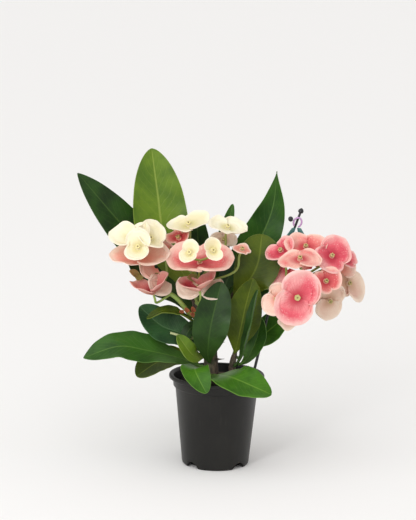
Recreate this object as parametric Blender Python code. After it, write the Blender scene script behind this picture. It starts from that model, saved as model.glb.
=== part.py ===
# Crown of thorns (Euphorbia milii hybrid) in a black nursery pot, with a support rod and clip.
# Z is up, the origin is the middle of the pot's underside, lengths in the constants are millimetres.
import math
import random

import bmesh
import bpy
from mathutils import Matrix, Vector

MM = 0.001
GAP = 0.3

POT_HEIGHT = 98.0
POT_LIP_RADIUS = 51.0
POT_WALL = 1.3
POT_FLOOR = 5.0
POT_SIDES = 32
COLLAR_BOTTOM = 85.0
BASE_DISC_RADIUS = 27.0
FOOT_RADIUS = 34.6
NOTCH_HEIGHT = 7.0
NOTCH_RADIUS = 8.5

SOIL_LEVEL = 87.0
SOIL_LUMP = 1.6

STEM_FOOT = (-6.0, 5.0, 30.0)
STEM_RADIUS = 8.5
SHOOT_FOOT = (16.0, 8.0, 45.0)
SHOOT_RADIUS = 4.2
THORN_LENGTH = 8.5
THORN_RADIUS = 1.3

LEAF_THICK = 0.85
LEAF_CELLS = 8
LEAF_SPAN = 4
BRACT_THICK = 0.75
BRACT_CELLS = 5
BRACT_SPREAD = math.radians(98.0)
HUB_INNER = 1.95
HUB_OUTER = 3.1
STALK_RADIUS = 1.3

ROD_RADIUS = 1.6
ROD_FOOT = (37.5, 3.0, 60.0)

for old in list(bpy.data.objects):
    bpy.data.objects.remove(old, do_unlink=True)

materials = {}


def material(name, colour, rough, sheen=0.0):
    mat = bpy.data.materials.new(name)
    mat.use_nodes = True
    shader = mat.node_tree.nodes["Principled BSDF"]
    shader.inputs["Base Color"].default_value = (*colour, 1.0)
    shader.inputs["Roughness"].default_value = rough
    shader.inputs["Sheen Weight"].default_value = sheen
    materials[name] = mat


material("pot_plastic", (0.022, 0.021, 0.019), 0.45)
material("potting_mix", (0.045, 0.03, 0.02), 0.95)
material("bark", (0.07, 0.05, 0.035), 0.85)
material("leaf_mature", (0.06, 0.16, 0.035), 0.42)
material("leaf_young", (0.2, 0.34, 0.06), 0.42)
material("leaf_olive", (0.12, 0.17, 0.02), 0.42)
material("leaf_dark", (0.02, 0.06, 0.02), 0.42)
material("bract_cream", (0.82, 0.76, 0.45), 0.55)
material("bract_pink", (0.75, 0.16, 0.17), 0.55)
material("bract_tan", (0.62, 0.36, 0.27), 0.6)
material("stalk_green", (0.16, 0.26, 0.05), 0.5)
material("rod_black", (0.012, 0.013, 0.014), 0.35)
material("clip_teal", (0.05, 0.15, 0.14), 0.4)
material("clip_lilac", (0.5, 0.32, 0.5), 0.35)


SLOTS = {
    "young": "leaf_young", "bright": "leaf_young", "mature": "leaf_mature", "blue": "leaf_mature",
    "olive": "leaf_olive", "dark": "leaf_dark", "cream": "bract_cream", "blush": "bract_pink",
    "coral": "bract_pink", "rose": "bract_pink", "deep": "bract_pink", "tan": "bract_tan",
}


def make(name, verts, faces, mat, smooth=True):
    mesh = bpy.data.meshes.new(name)
    mesh.from_pydata([tuple(Vector(v) * MM) for v in verts], [], faces)
    bm = bmesh.new()
    bm.from_mesh(mesh)
    bmesh.ops.recalc_face_normals(bm, faces=bm.faces)
    bmesh.ops.triangulate(bm, faces=[f for f in bm.faces if len(f.verts) > 4])
    bm.to_mesh(mesh)
    bm.free()
    mesh.materials.append(materials[mat])
    for poly in mesh.polygons:
        poly.use_smooth = smooth
    obj = bpy.data.objects.new(name, mesh)
    bpy.context.scene.collection.objects.link(obj)
    return obj


def combine(target, other, kind, solver="MANIFOLD"):
    mod = target.modifiers.new("combine", "BOOLEAN")
    mod.operation = kind
    mod.solver = solver
    mod.object = other
    bpy.context.view_layer.objects.active = target
    bpy.ops.object.modifier_apply(modifier=mod.name)
    bpy.data.objects.remove(other, do_unlink=True)
    return target


def spline(points, t):
    """Point at t (0 to 1) on a smooth curve through the points, evenly spread over them."""
    pts = [Vector(p) for p in points]
    pts = [pts[0] * 2.0 - pts[1]] + pts + [pts[-1] * 2.0 - pts[-2]]
    s = min(max(t, 0.0), 1.0) * (len(pts) - 3)
    i = min(int(s), len(pts) - 4)
    u = s - i
    a, b, c, d = pts[i], pts[i + 1], pts[i + 2], pts[i + 3]
    square = (2 * a - 5 * b + 4 * c - d) * u * u
    return 0.5 * (2 * b + (c - a) * u + square + (3 * b - a - 3 * c + d) * u ** 3)


def evenly(points, count):
    """The same curve as a list of points at equal lengths along it."""
    fine = [spline(points, i / 80) for i in range(81)]
    run = [0.0]
    for a, b in zip(fine, fine[1:]):
        run.append(run[-1] + (b - a).length)
    out = []
    k = 0
    for i in range(count + 1):
        goal = run[-1] * i / count
        while k < 79 and run[k + 1] < goal:
            k += 1
        out.append(fine[k].lerp(fine[k + 1], (goal - run[k]) / (run[k + 1] - run[k])))
    return out


def tangent(points, t):
    return (spline(points, min(t + 0.02, 1.0)) - spline(points, max(t - 0.02, 0.0))).normalized()


def tube(name, path, radii, sides, mat, turn=0.0):
    """Closed round bar through the path's points, one radius at each."""
    path = [Vector(p) for p in path]
    verts, faces = [], []
    last = len(path) - 1
    side = None
    for i, p in enumerate(path):
        along = (path[min(i + 1, last)] - path[max(i - 1, 0)]).normalized()
        if side is None:
            side = along.orthogonal().normalized()
        side = (side - along * side.dot(along)).normalized()
        across = along.cross(side)
        for k in range(sides):
            a = turn + 2 * math.pi * k / sides
            verts.append(p + (side * math.cos(a) + across * math.sin(a)) * radii[i])
    for i in range(last):
        for k in range(sides):
            n = (k + 1) % sides
            faces.append((i * sides + k, i * sides + n, (i + 1) * sides + n, (i + 1) * sides + k))
    faces.append(tuple(range(sides))[::-1])
    faces.append(tuple(last * sides + k for k in range(sides)))
    return make(name, verts, faces, mat)


def upright(name, x, y, levels, sides, mat, turn=0.0):
    """Closed turned body about a vertical line: levels are (radius, height)."""
    verts, faces = [], []
    for r, z in levels:
        for k in range(sides):
            a = turn + 2 * math.pi * k / sides
            verts.append((x + r * math.cos(a), y + r * math.sin(a), z))
    for i in range(len(levels) - 1):
        for k in range(sides):
            n = (k + 1) % sides
            faces.append((i * sides + k, i * sides + n, (i + 1) * sides + n, (i + 1) * sides + k))
    faces.append(tuple(range(sides))[::-1])
    faces.append(tuple((len(levels) - 1) * sides + k for k in range(sides)))
    return make(name, verts, faces, mat)


def pot():
    """Thin moulded wall with a rolled lip, a collar, a ring foot and a flat disc under the middle."""
    h = POT_HEIGHT
    lip = POT_LIP_RADIUS
    outline = [
        (BASE_DISC_RADIUS, 0.0), (BASE_DISC_RADIUS + 1.0, 3.2),
        (FOOT_RADIUS - 2.6, 3.2), (FOOT_RADIUS - 2.0, 0.0),
        (FOOT_RADIUS, 0.0), (FOOT_RADIUS + 1.2, 1.5),
        (44.2, COLLAR_BOTTOM - 0.4), (46.2, COLLAR_BOTTOM + 0.6),
        (46.9, h - 4.6), (lip - 1.2, h - 4.2), (lip, h - 2.8), (lip - 0.1, h - 1.0), (lip - 1.2, h),
        (lip - 2.8, h), (46.0, h - 1.6), (46.2 - POT_WALL, COLLAR_BOTTOM + 1.4),
        (44.2 - POT_WALL, COLLAR_BOTTOM - 1.2), (FOOT_RADIUS + 0.6 - POT_WALL, POT_FLOOR + 1.6),
        (FOOT_RADIUS - 2.4, POT_FLOOR),
    ]
    body = upright("pot", 0.0, 0.0, outline, POT_SIDES, "pot_plastic")
    for k in range(4):
        a = math.radians(45 + 90 * k)
        out = Vector((math.cos(a), math.sin(a), 0.0))
        low = out * (BASE_DISC_RADIUS + 1.5)
        far = out * (FOOT_RADIUS + 6.0)
        level = Vector((0.0, 0.0, NOTCH_HEIGHT - NOTCH_RADIUS))
        cutter = tube("notch", [low + level, far + level], [NOTCH_RADIUS, NOTCH_RADIUS], 12, "pot_plastic",
                      math.radians(15))
        combine(body, cutter, "DIFFERENCE")
    return body


def pot_inside(z):
    """Inner radius of the pot at a height."""
    low_r, low_z = FOOT_RADIUS + 0.6 - POT_WALL, POT_FLOOR + 1.6
    top_r, top_z = 44.2 - POT_WALL, COLLAR_BOTTOM - 1.2
    return low_r + (top_r - low_r) * (z - low_z) / (top_z - low_z)


def soil():
    """Lumpy bed of potting mix, with plain holes for the stem, the shoot and the rod."""
    rng = random.Random(7)
    sides = 18
    floor = POT_FLOOR + 1.9
    edge = pot_inside(SOIL_LEVEL - 4.5) - GAP - 0.35
    levels = [(pot_inside(floor) - GAP - 0.35, floor), (edge, SOIL_LEVEL - 4.5)]
    rings = [edge - 1.5, edge - 8, edge - 16, edge - 24, edge - 31]
    verts, faces = [], []
    for r, z in levels:
        for k in range(sides):
            a = 2 * math.pi * k / sides
            verts.append((r * math.cos(a), r * math.sin(a), z))
    for n, r in enumerate(rings):
        for k in range(sides):
            a = 2 * math.pi * (k + (0.0 if n == 0 else rng.uniform(-0.2, 0.2))) / sides
            z = SOIL_LEVEL - (2.0 if n == 0 else 0.0) + rng.uniform(-SOIL_LUMP, SOIL_LUMP)
            verts.append((r * math.cos(a), r * math.sin(a), z))
    rows = len(levels) + len(rings)
    for i in range(rows - 1):
        for k in range(sides):
            n = (k + 1) % sides
            faces.append((i * sides + k, i * sides + n, (i + 1) * sides + n, (i + 1) * sides + k))
    verts.append((0, 0, floor))
    verts.append((0, 0, SOIL_LEVEL + 0.5))
    for k in range(sides):
        n = (k + 1) % sides
        faces.append((n, k, rows * sides))
        faces.append(((rows - 1) * sides + k, (rows - 1) * sides + n, rows * sides + 1))
    body = make("soil", verts, faces, "potting_mix")
    for foot, radius, sides_n in ((STEM_FOOT, STEM_RADIUS, 12), (SHOOT_FOOT, SHOOT_RADIUS, 8),
                                  (ROD_FOOT, ROD_RADIUS, 8)):
        cutter = upright("hole", foot[0], foot[1], [(radius + GAP, foot[2] - GAP), (radius + GAP, 120.0)],
                         sides_n, "potting_mix")
        combine(body, cutter, "DIFFERENCE")
    return body


STEM_MAIN = [(-6, 5, 92), (-6.5, 5.5, 108), (-7.5, 6, 126), (-9, 6, 148)]
STEM_MAIN_R = [8.5, 8.1, 7.6, 6.6]
FORK_LEFT = [(-8.5, 6, 139), (-14, 5, 153), (-20, 3, 165), (-25, 2, 176)]
FORK_LEFT_R = [6.0, 5.8, 5.4, 4.6]
FORK_RIGHT = [(-8, 6, 138), (-1, 8, 153), (8, 10, 168), (16, 11, 181)]
FORK_RIGHT_R = [5.8, 5.6, 5.2, 4.4]
SHOOT = [(16, 8, 92), (16.5, 8, 104), (18, 8, 114), (20, 8.5, 124)]
SHOOT_R = [4.2, 4.1, 3.9, 3.3]
BRANCHES = {
    "main": (STEM_MAIN, STEM_MAIN_R),
    "left": (FORK_LEFT, FORK_LEFT_R),
    "right": (FORK_RIGHT, FORK_RIGHT_R),
    "shoot": (SHOOT, SHOOT_R),
}


def on_branch(branch, t):
    """Axis point, axis direction and radius of a woody branch at t (0 foot, 1 end)."""
    path, radii = BRANCHES[branch]
    s = t * (len(radii) - 1)
    i = min(int(s), len(radii) - 2)
    a, b = Vector(path[i]), Vector(path[i + 1])
    return a.lerp(b, s - i), (b - a).normalized(), radii[i] + (radii[i + 1] - radii[i]) * (s - i)


roots = []


def seat(branch, t, toward, clear):
    """Point just off the bark on the side that looks toward a place, and the way out of it."""
    p, along, r = on_branch(branch, t)
    out = Vector(toward) - p
    out = (out - along * out.dot(along)).normalized()
    root = p + out * (r + clear)
    roots.append(root)
    return root, out, along


def add_thorns(body, branch, spots, seed):
    """Straight tapering thorns with their feet sunk in the bark, clear of the leaf seats."""
    rng = random.Random(seed)
    placed = 0
    for n in range(spots * 6):
        t = rng.uniform(0.06, 0.93)
        p, along, r = on_branch(branch, t)
        side = along.orthogonal().normalized()
        a = rng.uniform(0, 2 * math.pi)
        out = side * math.cos(a) + along.cross(side) * math.sin(a)
        out = (out + along * rng.uniform(0.0, 0.25)).normalized()
        foot = p + out * (r - 2.6)
        size = THORN_LENGTH * rng.uniform(0.7, 1.1)
        tip = p + out * (r + size)
        if any((tip - q).length < 6.0 or (foot - q).length < 7.0 or ((foot + tip) / 2 - q).length < 6.5
               for q in roots + taken):
            continue
        if branch != "main" and t < 0.3:
            continue
        taken.append(foot)
        cone = tube("thorn", [foot, tip], [THORN_RADIUS, 0.22], 4, "bark")
        combine(body, cone, "UNION")
        placed += 1
        if placed == spots:
            break
    return body


taken = []


def stem():
    body = upright("stem", STEM_FOOT[0], STEM_FOOT[1], [(STEM_RADIUS, STEM_FOOT[2]), (STEM_RADIUS, 92.0)],
                   12, "bark")
    upper = tube("upper", [(-6, 5, 90.5)] + STEM_MAIN[1:] + [(-9.6, 6, 153)],
                 [8.3] + STEM_MAIN_R[1:] + [3.5],
                 11, "bark")
    combine(body, upper, "UNION")
    left = tube("left", FORK_LEFT + [(-27, 1.6, 180)], FORK_LEFT_R + [2.4], 9, "bark")
    combine(body, left, "UNION")
    right = tube("right", FORK_RIGHT + [(18, 11.3, 185)], FORK_RIGHT_R + [2.2], 9, "bark")
    combine(body, right, "UNION")
    add_thorns(body, "main", 12, 3)
    add_thorns(body, "left", 6, 5)
    add_thorns(body, "right", 6, 8)
    return body


def shoot():
    body = upright("side_shoot", SHOOT_FOOT[0], SHOOT_FOOT[1],
                   [(SHOOT_RADIUS, SHOOT_FOOT[2]), (SHOOT_RADIUS, 92.0)], 8, "bark")
    upper = tube("upper", [(16, 8, 90.5)] + SHOOT[1:] + [(21, 8.8, 127)],
                 [4.1] + SHOOT_R[1:] + [1.6], 8, "bark")
    combine(body, upper, "UNION")
    add_thorns(body, "shoot", 4, 12)
    return body


def leaf(name, branch, t, points, face, width, colour,
         widest=0.6, blunt=0.55, fold=14.0, wave=1.2, turn=0.0,
         waves=2.5, clear=None):
    """One blade: a midrib curve from the bark to the tip, blades folded up along it with waved edges."""
    root, out, along = seat(branch, t, points[0], 0.45 if clear is None else clear)
    path = evenly([root, root + out * 4.0] + list(points), 40)
    face = Vector(face).normalized()
    upper, lower = [], []
    for i in range(LEAF_CELLS + 1):
        s = 1.0 - (1.0 - i / LEAF_CELLS) ** 1.25
        p = spline(path, s)
        way = tangent(path, s)
        if i == 0:
            way = out
        twist = Matrix.Rotation(math.radians(turn) * (s - 0.5), 3, way)
        flat = twist @ face
        side = way.cross(flat).normalized()
        if i == 0:
            side = (side - out * side.dot(out)).normalized()
        normal = side.cross(way).normalized()
        if s < widest:
            half = max(width / 2 * math.sin(math.pi / 2 * s / widest) ** 1.4, 1.4)
        else:
            end = (0.24 if blunt < 0.7 else 0.05) * width / 2
            half = max(width / 2 * (1.0 - ((s - widest) / (1.0 - widest)) ** 2) ** blunt, end)
        lift = math.tan(math.radians(fold)) * min(s * 4.0, 1.0)
        for j in range(LEAF_SPAN + 1):
            c = 2.0 * j / LEAF_SPAN - 1.0
            ripple = wave * math.sin(2 * math.pi * waves * s + (0.0 if c > 0 else 1.9)) * c * c
            ripple *= min(s * 3.0, 1.0) * min((1.0 - s) * 4.0, 1.0)
            q = p + side * (half * c) + normal * (half * abs(c) ** 1.4 * lift + ripple)
            rib = (1.5 - 1.1 * s) if c == 0.0 else (0.35 * (1.0 - s) if abs(c) < 0.9 else 0.0)
            upper.append(q + normal * (LEAF_THICK / 2))
            lower.append(q - normal * (LEAF_THICK / 2 + rib))
    wide = LEAF_SPAN + 1
    count = len(upper)
    faces = []
    for i in range(LEAF_CELLS):
        for j in range(LEAF_SPAN):
            a = i * wide + j
            b, c, d = a + 1, a + wide + 1, a + wide
            for tri in ((a, b, c), (a, c, d)):
                faces.append(tri)
                faces.append(tuple(count + k for k in reversed(tri)))
    border = [(j + 1, j) for j in range(LEAF_SPAN)]
    border += [(LEAF_CELLS * wide + j, LEAF_CELLS * wide + j + 1) for j in range(LEAF_SPAN)]
    border += [(i * wide, (i + 1) * wide) for i in range(LEAF_CELLS)]
    border += [((i + 1) * wide + LEAF_SPAN, i * wide + LEAF_SPAN) for i in range(LEAF_CELLS)]
    for a, b in border:
        faces.append((a, b, count + b, count + a))
    return make("leaf_" + name, upper + lower, faces, SLOTS[colour])


def bloom_frame(axis, roll):
    up = Vector(axis).normalized()
    ref = Vector((0, 0, 1)) if abs(up.z) < 0.9 else Vector((0, -1, 0))
    across = ref.cross(up).normalized()
    other = up.cross(across)
    a = math.radians(roll)
    x = across * math.cos(a) + other * math.sin(a)
    return x, up.cross(x), up


def bract(centre, x, y, up, size, cup, arch, raised, wave):
    """One petal-like bract: a rounded heart whose base sits in the hub ring."""
    offset = 0.42 * size
    radial = 3
    upper, lower = [], []
    for i in range(radial):
        f = i / (radial - 1)
        for j in range(BRACT_CELLS + 1):
            a = BRACT_SPREAD * (2.0 * j / BRACT_CELLS - 1.0)
            reach = offset * math.cos(a) + math.sqrt(size * size - (offset * math.sin(a)) ** 2)
            reach *= 1.0 - 0.10 * max(0.0, abs(a) / BRACT_SPREAD - 0.7) / 0.3
            r = 2.4 + (reach - 2.4) * f
            px, py = r * math.cos(a), r * math.sin(a)
            f2 = r / size
            bend = arch + (cup - arch) * math.sin(a) ** 2
            h = raised + bend * f2 * f2 + wave * f * math.sin(3.0 * a + 0.6)
            q = centre + x * px + y * py + up * h
            upper.append(q + up * (BRACT_THICK / 2))
            lower.append(q - up * (BRACT_THICK / 2))
    wide = BRACT_CELLS + 1
    count = len(upper)
    faces = []
    for i in range(radial - 1):
        for j in range(BRACT_CELLS):
            a = i * wide + j
            b, c, d = a + 1, a + wide + 1, a + wide
            for tri in ((a, b, c), (a, c, d)):
                faces.append(tri)
                faces.append(tuple(count + k for k in reversed(tri)))
    border = [(j + 1, j) for j in range(BRACT_CELLS)]
    border += [((radial - 1) * wide + j, (radial - 1) * wide + j + 1) for j in range(BRACT_CELLS)]
    border += [(i * wide, (i + 1) * wide) for i in range(radial - 1)]
    border += [((i + 1) * wide + BRACT_CELLS, i * wide + BRACT_CELLS) for i in range(radial - 1)]
    for a, b in border:
        faces.append((a, b, count + b, count + a))
    return upper + lower, faces


def bloom(name, centre, axis, roll, size, cup, arch, colour, wave=0.8):
    """A pair of bracts on a small ring that the stalk passes through."""
    centre = Vector(centre)
    x, y, up = bloom_frame(axis, roll)
    verts, faces = [], []
    sides = 6
    for r, h in ((HUB_INNER, -0.2), (HUB_OUTER, -0.2), (HUB_OUTER, 2.6), (HUB_INNER, 2.6)):
        for k in range(sides):
            a = 2 * math.pi * k / sides
            verts.append(centre + x * (r * math.cos(a)) + y * (r * math.sin(a)) + up * h)
    for i in range(4):
        for k in range(sides):
            n = (k + 1) % sides
            m = (i + 1) % 4
            faces.append((i * sides + k, i * sides + n, m * sides + n, m * sides + k))
    mat = SLOTS[colour]
    body = make("bloom_" + name, verts, faces, mat)
    for k in range(2):
        flip = -1.0 if k else 1.0
        verts, faces = bract(centre, x * flip, y * flip, up, size, cup, arch, 0.55 + 1.35 * k, wave)
        combine(body, make("bract", verts, faces, mat), "UNION")
    return body


def stalks(name, branch, t, trunk, twigs):
    """A branched green stalk: each twig runs through a bloom's ring and ends in its small cup."""
    root, out, along = seat(branch, t, trunk[0], 1.3)
    path = [root, root + out * 5.0] + [Vector(p) for p in trunk]
    fine = evenly(path, 7)
    body = tube("stalk_" + name, fine, [2.2] + [2.8 - 0.6 * i / 7 for i in range(1, 8)], 6, "stalk_green")
    for start, way, centre, axis in twigs:
        centre = Vector(centre)
        up = Vector(axis).normalized()
        first = Vector(start)
        low = centre - up * 6.0
        mid = [Vector(p) for p in way]
        curve = [first] + mid + [low, centre + up * 1.3]
        n = 2 + 2 * len(mid)
        run = [spline(curve, i / n) for i in range(n)]
        run = [q for q in run if (q - centre).dot(up) < -2.0 or (q - centre).length > 8.0]
        run += [centre + up * h for h in (-1.4, 2.9, 3.1, 5.6, 6.4)]
        radii = [STALK_RADIUS] * (len(run) - 3) + [2.3, 2.6, 1.2]
        combine(body, tube("twig", run, radii, 5, "stalk_green"), "UNION")
    return body


LEAVES = [
    # name, branch, place, points to the tip, upper face, width, colour, options
    ("upright", "left", 0.86, [(-38, 30, 200), (-59, 42, 238), (-67, 48, 285), (-74, 52, 332)],
     (0.1, -1.0, 0.15), 58, "young", dict(widest=0.58, blunt=0.62, fold=10, wave=1.3)),
    ("far_left", "left", 0.2, [(-34, 44, 178), (-58, 56, 200), (-101, 60, 242), (-153, 50, 304)],
     (0.3, -0.9, 0.25), 44, "dark", dict(widest=0.58, blunt=0.8)),
    ("tall_right", "right", 0.62, [(25, 34, 205), (45, 38, 240), (57, 36, 274), (60, 28, 313)],
     (-0.15, -1.0, 0.1), 42, "mature", dict(widest=0.5, blunt=1.35, fold=16, wave=1.6)),
    ("round_olive", "right", 0.85, [(29, 2, 194), (41, 1, 218), (45, 1, 250)],
     (0.0, -1.0, 0.12), 48, "olive", dict(widest=0.66, blunt=0.5, fold=6)),
    ("low_olive", "shoot", 0.92, [(24, -9, 148), (29, -15, 176), (36, -18, 206)],
     (0.1, -1.0, 0.1), 38, "olive", dict(widest=0.52, blunt=0.7, fold=8, wave=0.9)),
    ("edge_on", "shoot", 0.45, [(27, -18, 126), (34, -34, 160), (41, -32, 197)],
     (-0.95, -0.3, 0.2), 16, "dark", dict(fold=24, wave=0.6)),
    ("low_right", "shoot", 0.5, [(33, 2, 116), (42, 4, 136), (46, 3, 159)],
     (-0.35, -1.0, 0.2), 21, "mature", dict(widest=0.6, wave=0.8)),
    ("far_right", "shoot", 0.7, [(36, 22, 128), (54, 26, 139), (76, 22, 160)],
     (-0.3, -0.9, 0.55), 32, "bright", dict(wave=0.9)),
    ("centre", "main", 0.4, [(-10, -18, 128), (-7, -26, 158), (3, -24, 203)],
     (0.0, -1.0, 0.15), 38, "dark", dict(widest=0.56, blunt=0.55, fold=12)),
    ("blue_green", "main", 0.62, [(-38, -1, 141), (-60, -2, 150), (-83, -6, 171)],
     (-0.15, -0.8, 0.65), 36, "blue", dict(widest=0.55, fold=12, wave=1.0)),
    ("narrow_left", "left", 0.5, [(-38, -12, 165), (-56, -18, 170), (-75, -18, 161)],
     (0.0, -0.35, 1.0), 15, "olive", dict(wave=0.6)),
    ("long_left", "main", 0.3, [(-40, -6, 116), (-75, -16, 126), (-105, -22, 131), (-141, -26, 119)],
     (0.05, -0.6, 0.8), 39, "mature", dict(widest=0.6, blunt=0.8, fold=10, wave=1.8)),
    ("low_left", "main", 0.2, [(-34, 20, 108), (-60, 20, 106), (-86, 10, 91)],
     (0.0, -0.5, 0.85), 34, "olive", dict(widest=0.62, blunt=0.5, wave=0.8)),
    ("young_up", "main", 0.5, [(-25, -19, 122), (-33, -27, 133), (-42, -28, 146)],
     (0.4, -0.85, 0.4), 18, "young", dict(wave=0.4)),
    ("young_down", "main", 0.15, [(-22, -26, 110), (-22, -46, 110), (-11, -64, 93)],
     (-0.1, -0.5, 0.9), 29, "bright", dict(widest=0.55, blunt=0.55, wave=0.7)),
    ("front_right", "main", 0.12, [(4, -24, 103), (20, -50, 105), (57, -58, 91)],
     (0.12, -0.5, 0.85), 46, "bright", dict(widest=0.54, blunt=0.6, fold=8, wave=1.4)),
    ("back_right", "right", 0.75, [(30, 28, 178), (44, 32, 184), (57, 32, 198)],
     (-0.3, -0.9, 0.3), 22, "mature", dict(wave=0.7)),
    ("teal", "right", 0.9, [(8, 15, 193), (14, 17, 206), (24, 19, 222)],
     (-0.3, -1.0, 0.1), 22, "blue", dict(wave=0.7)),
    ("slim_top", "right", 0.35, [(3, 34, 190), (4, 42, 230), (14, 46, 274)],
     (0.0, -1.0, 0.15), 15, "mature", dict(fold=18, wave=0.8)),
    ("dark_back", "left", 0.6, [(-20, 30, 192), (-22, 58, 222), (-25, 62, 262)],
     (0.0, -1.0, 0.2), 26, "dark", dict(wave=0.9)),
    ("behind_left", "left", 0.45, [(-42, 10, 178), (-70, 12, 196), (-97, 8, 230)],
     (0.2, -0.9, 0.4), 28, "dark", dict(widest=0.66, wave=0.9)),
    ("small_left", "main", 0.9, [(-25, -8, 151), (-32, -14, 145), (-36, -16, 132)],
     (-0.3, -0.9, 0.3), 13, "dark", dict(wave=0.4)),
    ("back_tall", "main", 0.75, [(-10, 44, 166), (-22, 80, 196), (-32, 104, 232)],
     (0.1, -0.8, 0.6), 44, "mature", dict(widest=0.62)),
    ("back_low", "right", 0.4, [(24, 46, 164), (36, 74, 182), (48, 92, 202)],
     (-0.1, -0.7, 0.7), 40, "mature", dict(widest=0.62)),
]

BLOOMS = [
    # name, hub centre, the way it faces, roll, bract radius, cup across, cup along, colour
    ("left_1", (-91, -10, 245), (-0.35, -0.55, 0.75), 10, 16, 7.0, 4.0, "cream"),
    ("left_2", (-73, -20, 245), (0.35, -0.5, 0.8), 50, 15, 6.0, 5.0, "cream"),
    ("left_3", (-84, -38, 240), (-0.1, -0.8, 0.55), 88, 13, 5.0, 5.0, "cream"),
    ("left_4", (-83, -18, 225), (0.0, -0.38, 0.92), 0, 22, 7.0, 2.0, "blush"),
    ("left_5", (-68, -24, 189), (-0.25, -0.2, 0.95), 0, 14, 11.0, 9.0, "deep"),
    ("left_6", (-53, 2, 229), (0.5, -0.1, 0.85), 20, 13, 4.0, 1.0, "blush"),
    ("centre_1", (-32, 6, 256), (-0.15, -0.35, 0.9), 10, 16, 5.0, 3.0, "cream"),
    ("centre_2", (8, 5, 254), (0.2, -0.4, 0.9), -10, 15, 5.0, 2.0, "cream"),
    ("centre_3", (4, 25, 237), (0.25, -0.6, 0.75), 10, 11, 3.0, 1.0, "tan"),
    ("centre_4", (-42, 4, 242), (-0.4, -0.4, 0.8), 10, 10, 3.0, 2.0, "coral"),
    ("centre_bowl", (-20, -26, 222), (0.0, -0.42, 0.91), 0, 25, 10.0, 2.5, "coral"),
    ("centre_6", (-30, -52, 238), (-0.2, -0.85, 0.5), 80, 9, 5.0, 4.0, "cream"),
    ("centre_7", (-7, -54, 241), (0.2, -0.85, 0.5), 95, 9, 5.0, 4.0, "cream"),
    ("centre_8", (23, -15, 234), (0.3, -0.35, 0.9), 20, 8.5, 2.0, 1.0, "blush"),
    ("centre_9", (-20, -29, 195), (-0.2, -0.2, 0.95), 0, 14, 9.0, 7.0, "deep"),
    ("right_1", (66, -8, 233), (-0.4, -0.6, 0.7), 60, 12, 4.0, 3.0, "rose"),
    ("right_2", (91, -6, 237), (0.0, -0.6, 0.8), 0, 16, 5.0, 3.0, "coral"),
    ("right_3", (84, -38, 230), (0.0, -0.4, 0.9), 5, 16, 2.0, -1.0, "coral"),
    ("right_4", (117, -16, 230), (0.35, -0.7, 0.6), 40, 18, 5.0, 3.0, "rose"),
    ("right_6", (137, 8, 196), (0.6, -0.6, 0.5), 150, 18, 3.0, -2.0, "tan"),
    ("right_7", (110, -40, 208), (0.4, -0.75, 0.5), 20, 13, 4.0, 3.0, "coral"),
    ("right_8", (117, -14, 184), (0.25, -0.85, -0.25), 80, 15, 3.0, 2.0, "tan"),
    ("right_front", (81, -60, 195), (0.05, -0.96, 0.25), 66, 21, 4.0, 3.0, "rose"),
    ("right_11", (62, -38, 189), (-0.4, -0.9, 0.1), 60, 13, 3.0, 2.0, "blush"),
    ("right_5", (135, 4, 222), (0.5, -0.5, 0.7), 30, 10, 3.0, 2.0, "rose"),
    ("right_12", (74, -40, 171), (-0.1, -0.8, -0.6), 70, 10, 3.0, 2.0, "tan"),
]

# Blooms of one colour whose bracts touch and hold together.
PRESSED_TOGETHER = [
    ("left_1", "left_2", "left_3"),
    ("left_4", "left_6"),
    ("right_1", "right_2", "right_3", "right_4", "right_7"),
]

for row in LEAVES:
    leaf(row[0], *row[1:7], **row[7])
for row in BLOOMS:
    bloom(*row)
for first, *others in PRESSED_TOGETHER:
    for other in others:
        combine(bpy.data.objects["bloom_" + first], bpy.data.objects["bloom_" + other], "UNION")

hub = {row[0]: (Vector(row[1]), Vector(row[2]).normalized()) for row in BLOOMS}


def twig(start, way, name):
    """One flower stalk; a start given by a bloom's name springs from just under that bloom's cup."""
    if isinstance(start, str):
        start = hub[start][0] + hub[start][1] * 4.6
    return (start, way, hub[name][0], hub[name][1])


stalks("left", "left", 0.72, [(-42, -10, 180), (-58, -8, 192), (-66, -5, 204)], [
    twig((-50, -10, 186), [(-64, -16, 178)], "left_5"),
    twig((-64, -6, 200), [(-80, -8, 208)], "left_4"),
    twig("left_4", [(-78, -14, 236)], "left_2"),
    twig((-60, -7, 195), [(-55, 4, 203)], "left_6"),
    twig("left_4", [(-96, -8, 236)], "left_1"),
    twig("left_4", [(-90, -28, 233)], "left_3"),
])
stalks("centre", "left", 0.98, [(-24, -8, 184), (-22, -12, 192), (-22, -11, 201)], [
    twig((-22, -11, 199), [(-21, -17, 207)], "centre_bowl"),
    twig((-22, -10, 180), [(-19, -24, 180)], "centre_9"),
    twig((-22, -11, 200), [(-30, 8, 228)], "centre_1"),
    twig((-22, -11, 200), [(4, 8, 228)], "centre_2"),
    twig((-22, -11, 199), [(-6, 20, 216)], "centre_3"),
    twig((-22, -11, 199), [(-40, 8, 224)], "centre_4"),
    twig((-22, -11, 197), [(16, -6, 210)], "centre_8"),
    twig("centre_bowl", [(-29, -39, 231)], "centre_6"),
    twig("centre_bowl", [(-11, -40, 232)], "centre_7"),
])
stalks("right", "right", 0.97, [(42, 12, 188), (70, 2, 196), (88, -4, 204)], [
    twig((80, -2, 200), [(84, -30, 192)], "right_front"),
    twig((68, 3, 195), [(64, -18, 188)], "right_11"),
    twig((83, -3, 202), [(88, -22, 210)], "right_3"),
    twig((72, 1, 197), [(71, -6, 214)], "right_1"),
    twig((86.6, -4.3, 203.6), [(90, 4, 222)], "right_2"),
    twig((85, -3, 203), [(108, -2, 218)], "right_4"),
    twig((84.5, -3, 202.5), [(104, -20, 202)], "right_7"),
    twig((86, -4, 203), [(116, 8, 200)], "right_6"),
    twig((80, -2, 200), [(104, 2, 188)], "right_8"),
    twig((86, -3.6, 203.2), [(118, -4, 217)], "right_5"),
    twig((76, -0.5, 198.5), [(72, -24, 180)], "right_12"),
])

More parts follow.
